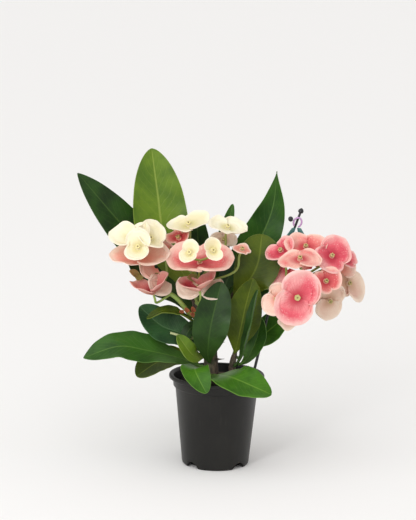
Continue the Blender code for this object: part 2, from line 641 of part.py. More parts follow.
stem()
shoot()
pot()
soil()

rod_path = [(37.5, 3, 90), (46, 6, 128), (54, 11, 163), (63, 16, 202), (75, 17, 240), (85, 15, 270)]


def support_rod():
    """Plastic-coated rod, bowed outward, with a mushroom-shaped end."""
    body = upright("stake", ROD_FOOT[0], ROD_FOOT[1],
                   [(0.5, ROD_FOOT[2]), (ROD_RADIUS, ROD_FOOT[2] + 4), (ROD_RADIUS, 91)], 8, "rod_black")
    end = Vector(rod_path[-1])
    way = tangent(rod_path, 1.0)
    bow = [Vector((37.5, 3, 89))] + [spline(rod_path, i / 9) for i in range(1, 10)]
    bow += [end + way * 1.0, end + way * 3.2, end + way * 5.2, end + way * 6.4]
    radii = [1.55] + [1.55 - 0.03 * i for i in range(1, 10)] + [2.9, 2.9, 1.8, 0.6]
    combine(body, tube("bow", bow, radii, 8, "rod_black"), "UNION")


def clip():
    """Spring clip on the rod: a lilac loop, a black hinge and two teal jaws that hang down and spread."""
    grip = spline(rod_path, 0.955)
    way = tangent(rod_path, 0.955)
    side = way.cross(Vector((0, 1, 0))).normalized()
    ring = []
    for k in range(9):
        a = math.radians(-60 + 300 * k / 8)
        ring.append(grip + side * (4.2 * math.cos(a) - 0.5) + way * (5.2 * math.sin(a) - 2.0)
                    + Vector((0, -4.0, 0)))
    tube("clip_loop", ring, [1.0] * 9, 6, "clip_lilac")
    pin = grip + side * 7.6 - way * 1.0 + Vector((0, -4.0, 0))
    tube("clip_hinge", [pin + Vector((0, -2.6, 0)), pin + Vector((0, -1.6, 0)), pin + Vector((0, 2.6, 0)),
                        pin + Vector((0, 3.2, 0))], [1.8, 2.6, 2.6, 1.8], 8, "rod_black")
    for name, lean, reach in (("clip_jaw_left", -7.0, -3.9), ("clip_jaw_right", 5.5, 1.4)):
        verts, faces = [], []
        for f, half in ((0.0, 2.2), (0.45, 3.4), (0.8, 4.2), (1.0, 3.4)):
            c = grip + Vector((reach + lean * f, -4.0 - 1.5 * f, -7.9 - 13.0 * f))
            out = Vector((0.9, -0.4 if lean > 0 else 0.4, 0.0)).normalized()
            flat = Vector((0, 0, 1)).cross(out)
            for u, v in ((-half, -0.6), (half, -0.6), (half, 0.6), (-half, 0.6)):
                verts.append(c + out * u + flat * v)
        for i in range(3):
            for k in range(4):
                n = (k + 1) % 4
                faces.append((i * 4 + k, i * 4 + n, (i + 1) * 4 + n, (i + 1) * 4 + k))
        faces += [(3, 2, 1, 0), (12, 13, 14, 15)]
        make(name, verts, faces, "clip_teal", smooth=False)


support_rod()
clip()
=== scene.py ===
import math
import random

import bpy
from mathutils import Matrix, Vector, noise


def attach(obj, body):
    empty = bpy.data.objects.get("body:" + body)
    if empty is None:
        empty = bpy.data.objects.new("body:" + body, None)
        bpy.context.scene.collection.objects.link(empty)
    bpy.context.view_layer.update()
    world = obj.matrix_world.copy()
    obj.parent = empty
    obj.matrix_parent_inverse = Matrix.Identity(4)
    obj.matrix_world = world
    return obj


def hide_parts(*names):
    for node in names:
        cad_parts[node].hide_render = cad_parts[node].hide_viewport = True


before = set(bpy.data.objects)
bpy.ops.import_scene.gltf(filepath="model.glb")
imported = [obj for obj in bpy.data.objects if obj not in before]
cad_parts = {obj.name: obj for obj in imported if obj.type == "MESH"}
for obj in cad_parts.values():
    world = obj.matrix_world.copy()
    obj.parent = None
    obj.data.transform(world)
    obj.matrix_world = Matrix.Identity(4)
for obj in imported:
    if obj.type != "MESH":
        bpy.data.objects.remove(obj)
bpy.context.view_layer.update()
scene = bpy.context.scene
MM = 0.001


# Camera, floor and light.
# A level pale table top seen from a little above, with broad soft light from the left and the front.
# The camera stands about 2.2 m away, as in the photograph, and leans a degree.
CAMERA_PLACE = (-0.0115, -2.154, 0.646)
CAMERA_DIP = 11.15
CAMERA_LEAN = 1.0
camera = bpy.data.cameras.new("camera")
camera.sensor_width = 36.0
camera.lens = 143.8
camera.clip_end = 60.0
camera_object = bpy.data.objects.new("camera", camera)
scene.collection.objects.link(camera_object)
camera_object.matrix_world = (Matrix.Translation(CAMERA_PLACE)
                              @ Matrix.Rotation(math.radians(90.0 - CAMERA_DIP), 4, "X")
                              @ Matrix.Rotation(math.radians(CAMERA_LEAN), 4, "Z"))
scene.camera = camera_object
scene.view_settings.view_transform = "Standard"


def linear(code):
    """Linear colour of an sRGB hex code."""
    code = code.lstrip("#")
    out = []
    for i in (0, 2, 4):
        c = int(code[i:i + 2], 16) / 255.0
        out.append(c / 12.92 if c <= 0.04045 else ((c + 0.055) / 1.055) ** 2.4)
    return (*out, 1.0)


def add(tree, kind, links=None, out=0, **settings):
    """Adds a shader node and gives back one output. links feeds its inputs with values or other outputs."""
    made = tree.nodes.new("ShaderNode" + kind)
    for key, value in settings.items():
        setattr(made, key, value)
    for key, value in (links or {}).items():
        if isinstance(value, bpy.types.NodeSocket):
            tree.links.new(value, made.inputs[key])
        else:
            made.inputs[key].default_value = value
    return made.outputs[out] if made.outputs else None


def new_material(name):
    """An empty material, its node tree, and the place on the object that its patterns follow."""
    mat = bpy.data.materials.new(name)
    mat.use_nodes = True
    tree = mat.node_tree
    tree.nodes.clear()
    return mat, tree, add(tree, "TexCoord", out="Object")


bpy.ops.mesh.primitive_plane_add(size=60.0, location=(0.0, 20.0, 0.0))
floor = bpy.context.object
floor.name = "floor"
table_white, tree, _ = new_material("table_white")
matt_top = add(tree, "BsdfPrincipled", {"Base Color": linear("#F1F0EF"), "Roughness": 0.9})
add(tree, "OutputMaterial", {"Surface": matt_top})
floor.data.materials.append(table_white)

world = bpy.data.worlds.new("studio")
world.use_nodes = True
sky = world.node_tree.nodes["Background"]
sky.inputs["Color"].default_value = linear("#FDFCFB")
sky.inputs["Strength"].default_value = 0.72
scene.world = world


def place_lamp(name, kind, toward, power):
    lamp = bpy.data.lights.new(name, kind)
    lamp.energy = power
    lamp_object = bpy.data.objects.new(name, lamp)
    scene.collection.objects.link(lamp_object)
    lamp_object.rotation_euler = Vector(toward).to_track_quat("-Z", "Y").to_euler()
    return lamp, lamp_object


daylight, _ = place_lamp("daylight", "SUN", (0.5, 0.9, -1.0), 1.15)
daylight.angle = math.radians(80.0)
bounce, _ = place_lamp("bounce", "SUN", (-1.0, 0.7, -0.5), 0.4)
bounce.angle = math.radians(110.0)
BOX_PLACE = Vector((-1.0, -1.9, 0.8))
PLANT_MIDDLE = Vector((0.0, 0.0, 0.1))
soft_box, box_object = place_lamp("soft_box", "AREA", PLANT_MIDDLE - BOX_PLACE, 14.0)
soft_box.shape = "RECTANGLE"
soft_box.size = 0.35
soft_box.size_y = 1.6
soft_box.diffuse_factor = 0.15
box_object.location = BOX_PLACE


# Nursery pot.
# One thin injection-moulded piece of black polypropylene: rolled lip, collar, tapering wall, ring foot.
# Four arched notches in the foot let the water out.
def deselect():
    if bpy.context.object and bpy.context.object.mode != "OBJECT":
        bpy.ops.object.mode_set(mode="OBJECT")
    bpy.ops.object.select_all(action="DESELECT")


def activate(obj):
    deselect()
    obj.select_set(True)
    bpy.context.view_layer.objects.active = obj


def apply_modifier(obj, kind, **settings):
    activate(obj)
    mod = obj.modifiers.new(kind.lower(), kind)
    for key, value in settings.items():
        setattr(mod, key, value)
    bpy.ops.object.modifier_apply(modifier=mod.name)


def from_lists(name, verts, faces, *mats):
    """Mesh object from places in millimetres."""
    mesh = bpy.data.meshes.new(name)
    mesh.from_pydata([tuple(Vector(v) * MM) for v in verts], [], faces)
    for entry in mats:
        mesh.materials.append(entry)
    obj = bpy.data.objects.new(name, mesh)
    scene.collection.objects.link(obj)
    return obj


def outward(obj):
    activate(obj)
    bpy.ops.object.mode_set(mode="EDIT")
    bpy.ops.mesh.select_all(action="SELECT")
    bpy.ops.mesh.normals_make_consistent(inside=False)
    bpy.ops.object.mode_set(mode="OBJECT")


def smooth(obj, angle=None):
    activate(obj)
    if angle is None:
        bpy.ops.object.shade_smooth()
    else:
        bpy.ops.object.shade_smooth_by_angle(angle=math.radians(angle))


def turned(name, outline, steps, *mats):
    """Closed body turned about the upright axis from (radius, height) points in millimetres."""
    obj = from_lists(name, [(r, 0.0, z) for r, z in outline], [], *mats)
    mesh = obj.data
    mesh.edges.add(len(outline) - 1)
    for i in range(len(outline) - 1):
        mesh.edges[i].vertices = (i, i + 1)
    apply_modifier(obj, "SCREW", angle=math.tau, steps=steps, render_steps=steps, axis="Z",
                   use_merge_vertices=True, merge_threshold=0.00001)
    outward(obj)
    return obj


def per_mm(size):
    """Texture scale whose pattern repeats about every size millimetres."""
    return 1000.0 / size


def tint(tree, base, value, low, high, strength, colour):
    """Lays a colour over the base, from none where value is low to its strength where value is high."""
    amount = add(tree, "MapRange", {"Value": value, "From Min": low, "From Max": high, "To Max": strength},
                 interpolation_type="SMOOTHSTEP")
    return add(tree, "Mix", {0: amount, 6: base, 7: linear(colour)}, out=2, data_type="RGBA")


def pot_material():
    """Injection-moulded polypropylene: near black, satin, with a fine grain and faint upright streaks that
    are raised a little as flow marks and painted lighter as sheen.
    """
    mat, tree, place = new_material("black_polypropylene")
    cloud = add(tree, "TexNoise", {"Vector": place, "Scale": per_mm(45.0), "Detail": 4.0, "Roughness": 0.55})
    grain = add(tree, "TexNoise", {"Vector": place, "Scale": per_mm(1.1), "Detail": 2.0, "Roughness": 0.55})
    upright = add(tree, "Mapping", {"Vector": place, "Scale": (1.0, 1.0, 0.06)})
    sheen_and_flow = add(tree, "TexNoise", {"Vector": upright, "Scale": per_mm(3.0), "Detail": 3.0, "Roughness": 0.55})
    base = tint(tree, linear("#131210"), cloud, 0.35, 0.7, 1.0, "#1B1A17")
    # painted sheen: the upright streaks are lightened to stand in for a soft shine
    base = tint(tree, base, sheen_and_flow, 0.58, 0.75, 0.35, "#282622")
    rough = add(tree, "Math", {0: cloud, 1: 0.16, 2: 0.34}, operation="MULTIPLY_ADD")
    height = add(tree, "Math", {0: grain, 1: 0.35}, operation="MULTIPLY")
    height = add(tree, "Math", {0: sheen_and_flow, 1: 0.5, 2: height}, operation="MULTIPLY_ADD")
    bump = add(tree, "Bump", {"Height": height, "Strength": 0.14, "Distance": 0.0004})
    shader = add(tree, "BsdfPrincipled", {"Base Color": base, "Roughness": rough, "Specular IOR Level": 0.3,
                                          "Normal": bump})
    add(tree, "OutputMaterial", {"Surface": shader})
    return mat


LIP = 51.0
RIM = 98.0
POT_FLOOR = 5.0
FOOT_RADIUS = 34.5
NOTCH_RADIUS = 8.5
NOTCH_DEPTH = 12.2
NOTCH_DROP = 1.5
COLLAR = 85.0
# radius, height: under the foot, up the outside, over the lip and down the inside
pot_outline = [
    (0.0, 0.0), (26.4, 0.0), (27.0, 0.5), (28.0, 3.2), (32.0, 3.2), (32.5, 0.4), (33.0, 0.0), (34.0, 0.0),
    (34.7, 0.3), (35.4, 1.1), (36.0, 3.4), (44.0, COLLAR - 1.2), (44.4, COLLAR - 0.5), (45.9, COLLAR + 0.4),
    (46.25, COLLAR + 1.0), (46.8, RIM - 6.0), (47.1, RIM - 4.7), (LIP - 2.6, RIM - 4.3),
    (LIP - 1.1, RIM - 4.1), (LIP - 0.3, RIM - 3.5), (LIP, RIM - 2.4), (LIP - 0.05, RIM - 1.4),
    (LIP - 0.5, RIM - 0.5), (LIP - 1.4, RIM), (LIP - 2.6, RIM), (LIP - 3.8, RIM - 0.4),
    (LIP - 4.7, RIM - 1.4), (LIP - 5.3, RIM - 3.2),
    (44.95, COLLAR + 1.5), (44.4, COLLAR), (42.9, COLLAR - 1.6), (34.0, POT_FLOOR + 2.0),
    (33.0, POT_FLOOR + 0.4), (32.0, POT_FLOOR), (0.0, POT_FLOOR),
]
pot = turned("pot_shell", pot_outline, 128, pot_material())
for k in range(4):
    turn = math.radians(45.0 + 90.0 * k)
    notch = Vector((FOOT_RADIUS * math.cos(turn), FOOT_RADIUS * math.sin(turn), -NOTCH_DROP)) * MM
    bpy.ops.mesh.primitive_cylinder_add(vertices=40, radius=NOTCH_RADIUS * MM, depth=NOTCH_DEPTH * MM,
                                        location=notch, rotation=(0.0, math.radians(90.0), turn))
    cutter = bpy.context.object
    apply_modifier(pot, "BOOLEAN", operation="DIFFERENCE", object=cutter, solver="EXACT")
    bpy.data.objects.remove(cutter, do_unlink=True)
smooth(pot, 32)
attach(pot, "root")
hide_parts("pot")


# Potting mix.
# A bed of dark peat and bark fines, with loose crumbs, bark chips and a few white grains of perlite on it.
# It is firmed by hand round the stem and lies a centimetre under the lip.
def soil_material(name, dark, pale):
    """Damp, crumbly matter: matt all over, broken up by fine grains and by darker clods."""
    mat, tree, place = new_material(name)
    fine = add(tree, "TexNoise", {"Vector": place, "Scale": per_mm(1.6), "Detail": 6.0, "Roughness": 0.7})
    clods = add(tree, "TexNoise", {"Vector": place, "Scale": per_mm(7.0), "Detail": 4.0, "Roughness": 0.55})
    base = tint(tree, linear(dark), fine, 0.35, 0.72, 1.0, pale)
    base = tint(tree, base, clods, 0.4, 0.7, 0.6, "#171310")
    bump = add(tree, "Bump", {"Height": fine, "Strength": 0.8, "Distance": 0.0012})
    shader = add(tree, "BsdfPrincipled", {"Base Color": base, "Roughness": 0.94, "Normal": bump})
    add(tree, "OutputMaterial", {"Surface": shader})
    return mat


SOIL_LEVEL = 87.0
peat = soil_material("peat", "#1E1813", "#4A3A2C")
BED_RADIUS = 42.1
BED_FOOT = 7.0
rings = [0.0, 2.5, 5.0, 8.0, 11.0, 14.0, 17.0, 20.0, 23.0, 26.0, 29.0, 32.0, 35.0, 37.5, 40.0, BED_RADIUS]
outline = [(r, SOIL_LEVEL) for r in rings]
outline += [(BED_RADIUS, SOIL_LEVEL - 5.0), (33.2, BED_FOOT), (0.0, BED_FOOT)]
bed = turned("soil_bed", outline, 120, peat)


def mound(x, y):
    """Height of the soil's broad swells over its level, in millimetres."""
    return noise.noise(Vector((x, y, 3.0)) / 9.0) * 1.8


for vert in bed.data.vertices:
    x, y, z = vert.co / MM
    if z > SOIL_LEVEL - 1.0 and math.hypot(x, y) < BED_RADIUS - 0.1:
        lump = mound(x, y) + noise.noise(Vector((x, y, 9.0)) / 3.0) * 0.9
        vert.co.z += (lump - 0.4) * MM
smooth(bed)
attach(bed, "root")
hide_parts("soil")

rng = random.Random(21)
CRUMB_REACH = 40.5
CRUMB_SIDES = 6
# round the stem, the side shoot and the rod, with the radius kept clear
kept_clear = [(-6.0, 5.0, 10.0), (16.0, 8.0, 6.0), (37.5, 3.0, 3.0)]
pine_bark = soil_material("pine_bark", "#3A2A1D", "#7A5C40")
perlite = soil_material("perlite", "#B9B4AA", "#EFECE4")
for name, count, size, finish in (("soil_crumbs", 210, (0.8, 2.1), peat),
                                  ("soil_bark", 46, (1.4, 3.4), pine_bark),
                                  ("soil_perlite", 16, (0.7, 1.5), perlite)):
    verts, faces = [], []
    while count:
        r = CRUMB_REACH * math.sqrt(rng.random())
        a = rng.uniform(0.0, math.tau)
        x, y = r * math.cos(a), r * math.sin(a)
        if any(math.hypot(x - sx, y - sy) < clear for sx, sy, clear in kept_clear):
            continue
        count -= 1
        grain = rng.uniform(*size)
        squash = (rng.uniform(0.7, 1.3), rng.uniform(0.5, 1.0), rng.uniform(0.35, 0.75))
        spin = Matrix.Rotation(rng.uniform(0, math.tau), 3, "Z")
        spin = spin @ Matrix.Rotation(rng.uniform(-0.5, 0.5), 3, "X")
        middle = Vector((x, y, SOIL_LEVEL + grain * 0.2 + mound(x, y)))
        first = len(verts)
        for i, h in enumerate((-0.75, 0.0, 0.75)):
            for k in range(CRUMB_SIDES):
                b = math.tau * k / CRUMB_SIDES + i * 0.5
                w = (0.62 if i != 1 else 1.0) * rng.uniform(0.8, 1.15)
                corner = Vector((w * math.cos(b) * squash[0], w * math.sin(b) * squash[1], h * squash[2]))
                verts.append(middle + spin @ corner * grain * 0.5)
        for low in (first, first + CRUMB_SIDES):
            high = low + CRUMB_SIDES
            for k in range(CRUMB_SIDES):
                n = (k + 1) % CRUMB_SIDES
                faces.append((low + k, low + n, high + n, high + k))
        faces.append(tuple(first + k for k in reversed(range(CRUMB_SIDES))))
        faces.append(tuple(first + 2 * CRUMB_SIDES + k for k in range(CRUMB_SIDES)))
    crumbs = from_lists(name, verts, faces, finish)
    outward(crumbs)
    smooth(crumbs, 50)
    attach(crumbs, "root")


# Leaves.
# Thick, smooth, succulent blades, broadest beyond the middle, with a pale midrib and faint side veins.
# Each grows straight from the bark, the oldest low down, the youngest bright yellow-green; those set back in
# shade behind and under the others are painted darker as shade.
BRANCHES = {
    # points along the middle of the wood, and its radius at each
    "main": ([(-6, 5, 92), (-6.5, 5.5, 108), (-7.5, 6, 126), (-9, 6, 148)], [8.5, 8.1, 7.6, 6.6]),
    "left": ([(-8.5, 6, 139), (-14, 5, 153), (-20, 3, 165), (-25, 2, 176)], [6.0, 5.8, 5.4, 4.6]),
    "right": ([(-8, 6, 138), (-1, 8, 153), (8, 10, 168), (16, 11, 181)], [5.8, 5.6, 5.2, 4.4]),
    "shoot": ([(16, 8, 92), (16.5, 8, 104), (18, 8, 114), (20, 8.5, 124)], [4.2, 4.1, 3.9, 3.3]),
}


def on_branch(branch, t):
    """Middle of a branch at t (0 to 1), the way along it, and its radius there."""
    path, radii = BRANCHES[branch]
    s = t * (len(radii) - 1)
    i = min(int(s), len(radii) - 2)
    a, b = Vector(path[i]), Vector(path[i + 1])
    return a.lerp(b, s - i), (b - a).normalized(), radii[i] + (radii[i + 1] - radii[i]) * (s - i)


def spline(points, t):
    """Point at t (0 to 1) on a smooth curve through the points."""
    pts = [Vector(p) for p in points]
    pts = [pts[0] * 2.0 - pts[1]] + pts + [pts[-1] * 2.0 - pts[-2]]
    s = min(max(t, 0.0), 1.0) * (len(pts) - 3)
    i = min(int(s), len(pts) - 4)
    u = s - i
    a, b, c, d = pts[i], pts[i + 1], pts[i + 2], pts[i + 3]
    bend = (2 * a - 5 * b + 4 * c - d) * u * u
    return 0.5 * (2 * b + (c - a) * u + bend + (3 * b - a - 3 * c + d) * u ** 3)


def evenly(points, count):
    """Evenly spaced points on the smooth curve through the given ones."""
    fine = [spline(points, i / 160) for i in range(161)]
    run = [0.0]
    for a, b in zip(fine, fine[1:]):
        run.append(run[-1] + (b - a).length)
    out = []
    k = 0
    for i in range(count + 1):
        goal = run[-1] * i / count
        while k < 159 and run[k + 1] < goal:
            k += 1
        out.append(fine[k].lerp(fine[k + 1], (goal - run[k]) / (run[k + 1] - run[k])))
    return out


def tangent(points, t):
    return (spline(points, min(t + 0.02, 1.0)) - spline(points, max(t - 0.02, 0.0))).normalized()


# where leaves and stalks leave the bark, which the thorns keep clear of
seats = []


def seat(branch, t, toward, clear):
    """Point just off the bark on the side that looks toward a place, and the way out of it."""
    p, along, r = on_branch(branch, t)
    out = Vector(toward) - p
    out = (out - along * out.dot(along)).normalized()
    root = p + out * (r + clear)
    seats.append(root)
    return root, out


def bar(name, path, radii, sides, finish):
    """Closed round bar along a path, with a radius for each of its points."""
    path = [Vector(p) for p in path]
    verts, faces = [], []
    last = len(path) - 1
    side = None
    for i, p in enumerate(path):
        along = (path[min(i + 1, last)] - path[max(i - 1, 0)]).normalized()
        side = along.orthogonal().normalized() if side is None else side
        side = (side - along * side.dot(along)).normalized()
        across = along.cross(side)
        for k in range(sides):
            a = math.tau * k / sides
            verts.append(p + (side * math.cos(a) + across * math.sin(a)) * radii[i])
    for i in range(last):
        for k in range(sides):
            n = (k + 1) % sides
            faces.append((i * sides + k, i * sides + n, (i + 1) * sides + n, (i + 1) * sides + k))
    faces.append(tuple(range(sides))[::-1])
    faces.append(tuple(last * sides + k for k in range(sides)))
    return from_lists(name, verts, faces, finish)


def join(name, objects):
    deselect()
    for obj in objects:
        obj.select_set(True)
    bpy.context.view_layer.objects.active = objects[0]
    bpy.ops.object.join()
    objects[0].name = name
    objects[0].data.name = name
    return objects[0]


def cover(tree, base, amount, strength, colour):
    """Lays a colour over the base by an amount from 0 to 1 times a strength."""
    share = add(tree, "Math", {0: amount, 1: strength}, operation="MULTIPLY")
    return add(tree, "Mix", {0: share, 6: base, 7: linear(colour)}, out=2, data_type="RGBA")


def vein_lines(tree, phase, width, strength, place, fades, full):
    """Lines half way between whole numbers of phase, faded out as place goes from full to fades."""
    off_line = add(tree, "Math", {0: phase}, operation="FRACT")
    off_line = add(tree, "Math", {0: off_line, 1: 0.5}, operation="SUBTRACT")
    off_line = add(tree, "Math", {0: off_line}, operation="ABSOLUTE")
    lines = add(tree, "MapRange", {"Value": off_line, "From Min": width, "From Max": 0.0, "To Max": strength},
                interpolation_type="SMOOTHSTEP")
    shown = add(tree, "MapRange", {"Value": place, "From Min": fades, "From Max": full},
                interpolation_type="SMOOTHSTEP")
    return add(tree, "Math", {0: lines, 1: shown}, operation="MULTIPLY")


def leaf_material(name, body, shade, vein, under=False):
    """Waxy leaf skin: satin, a little mottled, paler at the midrib, the side veins, the foot and the edge."""
    mat, tree, place = new_material(name)
    sideways = add(tree, "SeparateXYZ", {0: place.node.outputs["UV"]})
    along = sideways.node.outputs[1]
    across = add(tree, "Math", {0: sideways, 1: 2.0, 2: -1.0}, operation="MULTIPLY_ADD")
    across = add(tree, "Math", {0: across}, operation="ABSOLUTE")
    cloud = add(tree, "TexNoise", {"Vector": place, "Scale": per_mm(26.0), "Detail": 3.0, "Roughness": 0.55})
    fine = add(tree, "TexNoise", {"Vector": place, "Scale": per_mm(2.2), "Detail": 4.0, "Roughness": 0.55})
    wander = add(tree, "Math", {0: cloud, 1: 1.6}, operation="MULTIPLY")
    wander = add(tree, "Math", {0: fine, 1: 0.35, 2: wander}, operation="MULTIPLY_ADD")
    slant = add(tree, "Math", {0: across, 1: -3.4, 2: wander}, operation="MULTIPLY_ADD")
    phase = add(tree, "Math", {0: along, 1: 17.0, 2: slant}, operation="MULTIPLY_ADD")
    side_veins = vein_lines(tree, phase, 0.10, 1.0, across, 1.0, 0.55)
    base = tint(tree, linear(body), cloud, 0.34, 0.68, 1.0, shade)
    base = tint(tree, base, along, 0.55, 0.02, 0.4, vein)
    base = cover(tree, base, side_veins, 0.22 if under else 0.11, vein)
    base = tint(tree, base, across, 0.06, 0.01, 0.5, vein)
    base = tint(tree, base, across, 0.965, 1.0, 0.4, vein)
    base = tint(tree, base, fine, 0.66, 0.78, 0.22, shade)
    height = add(tree, "Math", {0: fine, 1: 0.25, 2: 0.5}, operation="MULTIPLY_ADD")
    height = add(tree, "Math", {0: side_veins, 1: -0.5, 2: height}, operation="MULTIPLY_ADD")
    bump = add(tree, "Bump", {"Height": height, "Strength": 0.35, "Distance": 0.0006})
    rough = add(tree, "Math", {0: cloud, 1: 0.14, 2: 0.50 if under else 0.33}, operation="MULTIPLY_ADD")
    skin = add(tree, "BsdfPrincipled", {"Base Color": base, "Roughness": rough, "Specular IOR Level": 0.24,
                                        "Normal": bump})
    glow = add(tree, "BsdfTranslucent", {"Color": base, "Normal": bump})
    add(tree, "OutputMaterial", {"Surface": add(tree, "MixShader", {0: 0.07, 1: skin, 2: glow})})
    return mat


def thicken(blade, up, thickness, finishes, rim):
    """Turns a sheet's upper side up and makes it a closed blade, with a finish above and another below."""
    for finish in finishes:
        blade.data.materials.append(finish)
    if blade.data.polygons[len(blade.data.polygons) // 2].normal.dot(up) < 0.0:
        blade.data.flip_normals()
    apply_modifier(blade, "SOLIDIFY", thickness=thickness * MM, offset=-1.0, material_offset=1,
                   material_offset_rim=rim, use_even_offset=False)


LEAF_COLOURS = {
    # upper face, its darker patches, veins, lower face, slot
    "young": ("#64801F", "#4B691A", "#9BAA50", "#6F8640", "leaf_young"),
    "bright": ("#44761A", "#2E5912", "#78A040", "#5B7F3A", "leaf_young"),
    "mature": ("#325C19", "#214413", "#64883E", "#50743A", "leaf_mature"),
    "blue": ("#33582F", "#203C22", "#5F8058", "#507050", "leaf_mature"),
    "olive": ("#4C5D0F", "#34450C", "#76842E", "#5C6A2A", "leaf_olive"),
    # the darkest finish, for leaves set back behind and under the others, is deep green with painted shade
    "dark": ("#274714", "#182F0F", "#48652C", "#3F5A2C", "leaf_dark"),
}
leaf_finish = {}
for key, (body, shade, vein, pale, _) in LEAF_COLOURS.items():
    leaf_finish[key] = (leaf_material("leaf_" + key, body, shade, vein),
                        leaf_material("leaf_under_" + key, pale, body, vein, under=True))


BLADE_THICKNESS = 0.8
SEAT_GAP = 0.45
WAVES = 2.5
ACROSS_CELLS = 20
ALONG_CELLS = 64
RIB_RINGS = 26


def leaf(name, branch, t, points, face, width, colour, widest, blunt, fold, wave):
    """A blade from a subdivided square: laid along its midrib, folded, waved, then given its thickness."""
    root, out = seat(branch, t, points[0], SEAT_GAP)
    path = evenly([root, root + out * 4.0] + list(points), 60)
    face = Vector(face).normalized()
    bpy.ops.mesh.primitive_grid_add(x_subdivisions=ACROSS_CELLS, y_subdivisions=ALONG_CELLS, size=2.0)
    blade = bpy.context.object
    rows = {}
    for vert in blade.data.vertices:
        c = vert.co.x
        key = round((vert.co.y + 1.0) / 2.0 * ALONG_CELLS)
        if key not in rows:
            s = 1.0 - (1.0 - key / ALONG_CELLS) ** 1.25
            p = spline(path, s)
            way = out if key == 0 else tangent(path, s)
            side = way.cross(face).normalized()
            if key == 0:
                side = (side - out * side.dot(out)).normalized()
            if s < widest:
                half = max(width / 2 * math.sin(math.pi / 2 * s / widest) ** 1.4, 1.4)
            else:
                half = width / 2 * (1.0 - min((s - widest) / (1.0 - widest), 1.0) ** 2) ** blunt
                half = max(half, 0.35)
            rows[key] = (s, p, side, side.cross(way).normalized(), half)
        s, p, side, normal, half = rows[key]
        lift = math.tan(math.radians(fold)) * min(s * 4.0, 1.0)
        ripple = wave * math.sin(math.tau * WAVES * s + (0.0 if c > 0 else 1.9)) * c * c
        ripple += 0.35 * wave * math.sin(math.tau * (WAVES * 2.7) * s + (0.7 if c > 0 else 2.2)) * abs(c) ** 3
        ripple *= min(s * 3.0, 1.0) * min((1.0 - s) * 4.0, 1.0)
        groove = -0.45 * math.exp(-(c * half / 1.2) ** 2) * (1.0 - 0.7 * s)
        raised = half * abs(c) ** 1.4 * lift + ripple + groove + 0.42
        vert.co = (p + side * (half * c) + normal * raised) * MM
    thicken(blade, rows[ALONG_CELLS // 2][3], BLADE_THICKNESS, leaf_finish[colour], 1)
    line = []
    for i in range(RIB_RINGS + 1):
        s = 0.93 * i / RIB_RINGS
        way = out if i == 0 else tangent(path, s)
        normal = way.cross(face).cross(way).normalized()
        line.append(spline(path, s) - normal * (0.55 + 0.35 * (1.0 - s)))
    radii = [1.35 - 1.1 * (i / RIB_RINGS) ** 0.7 for i in range(RIB_RINGS + 1)]
    rib = bar("rib", line, radii, 10, leaf_finish[colour][1])
    piece = join("blade_" + name, [blade, rib])
    smooth(piece, 60)
    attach(piece, "root")
    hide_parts("leaf_" + name)


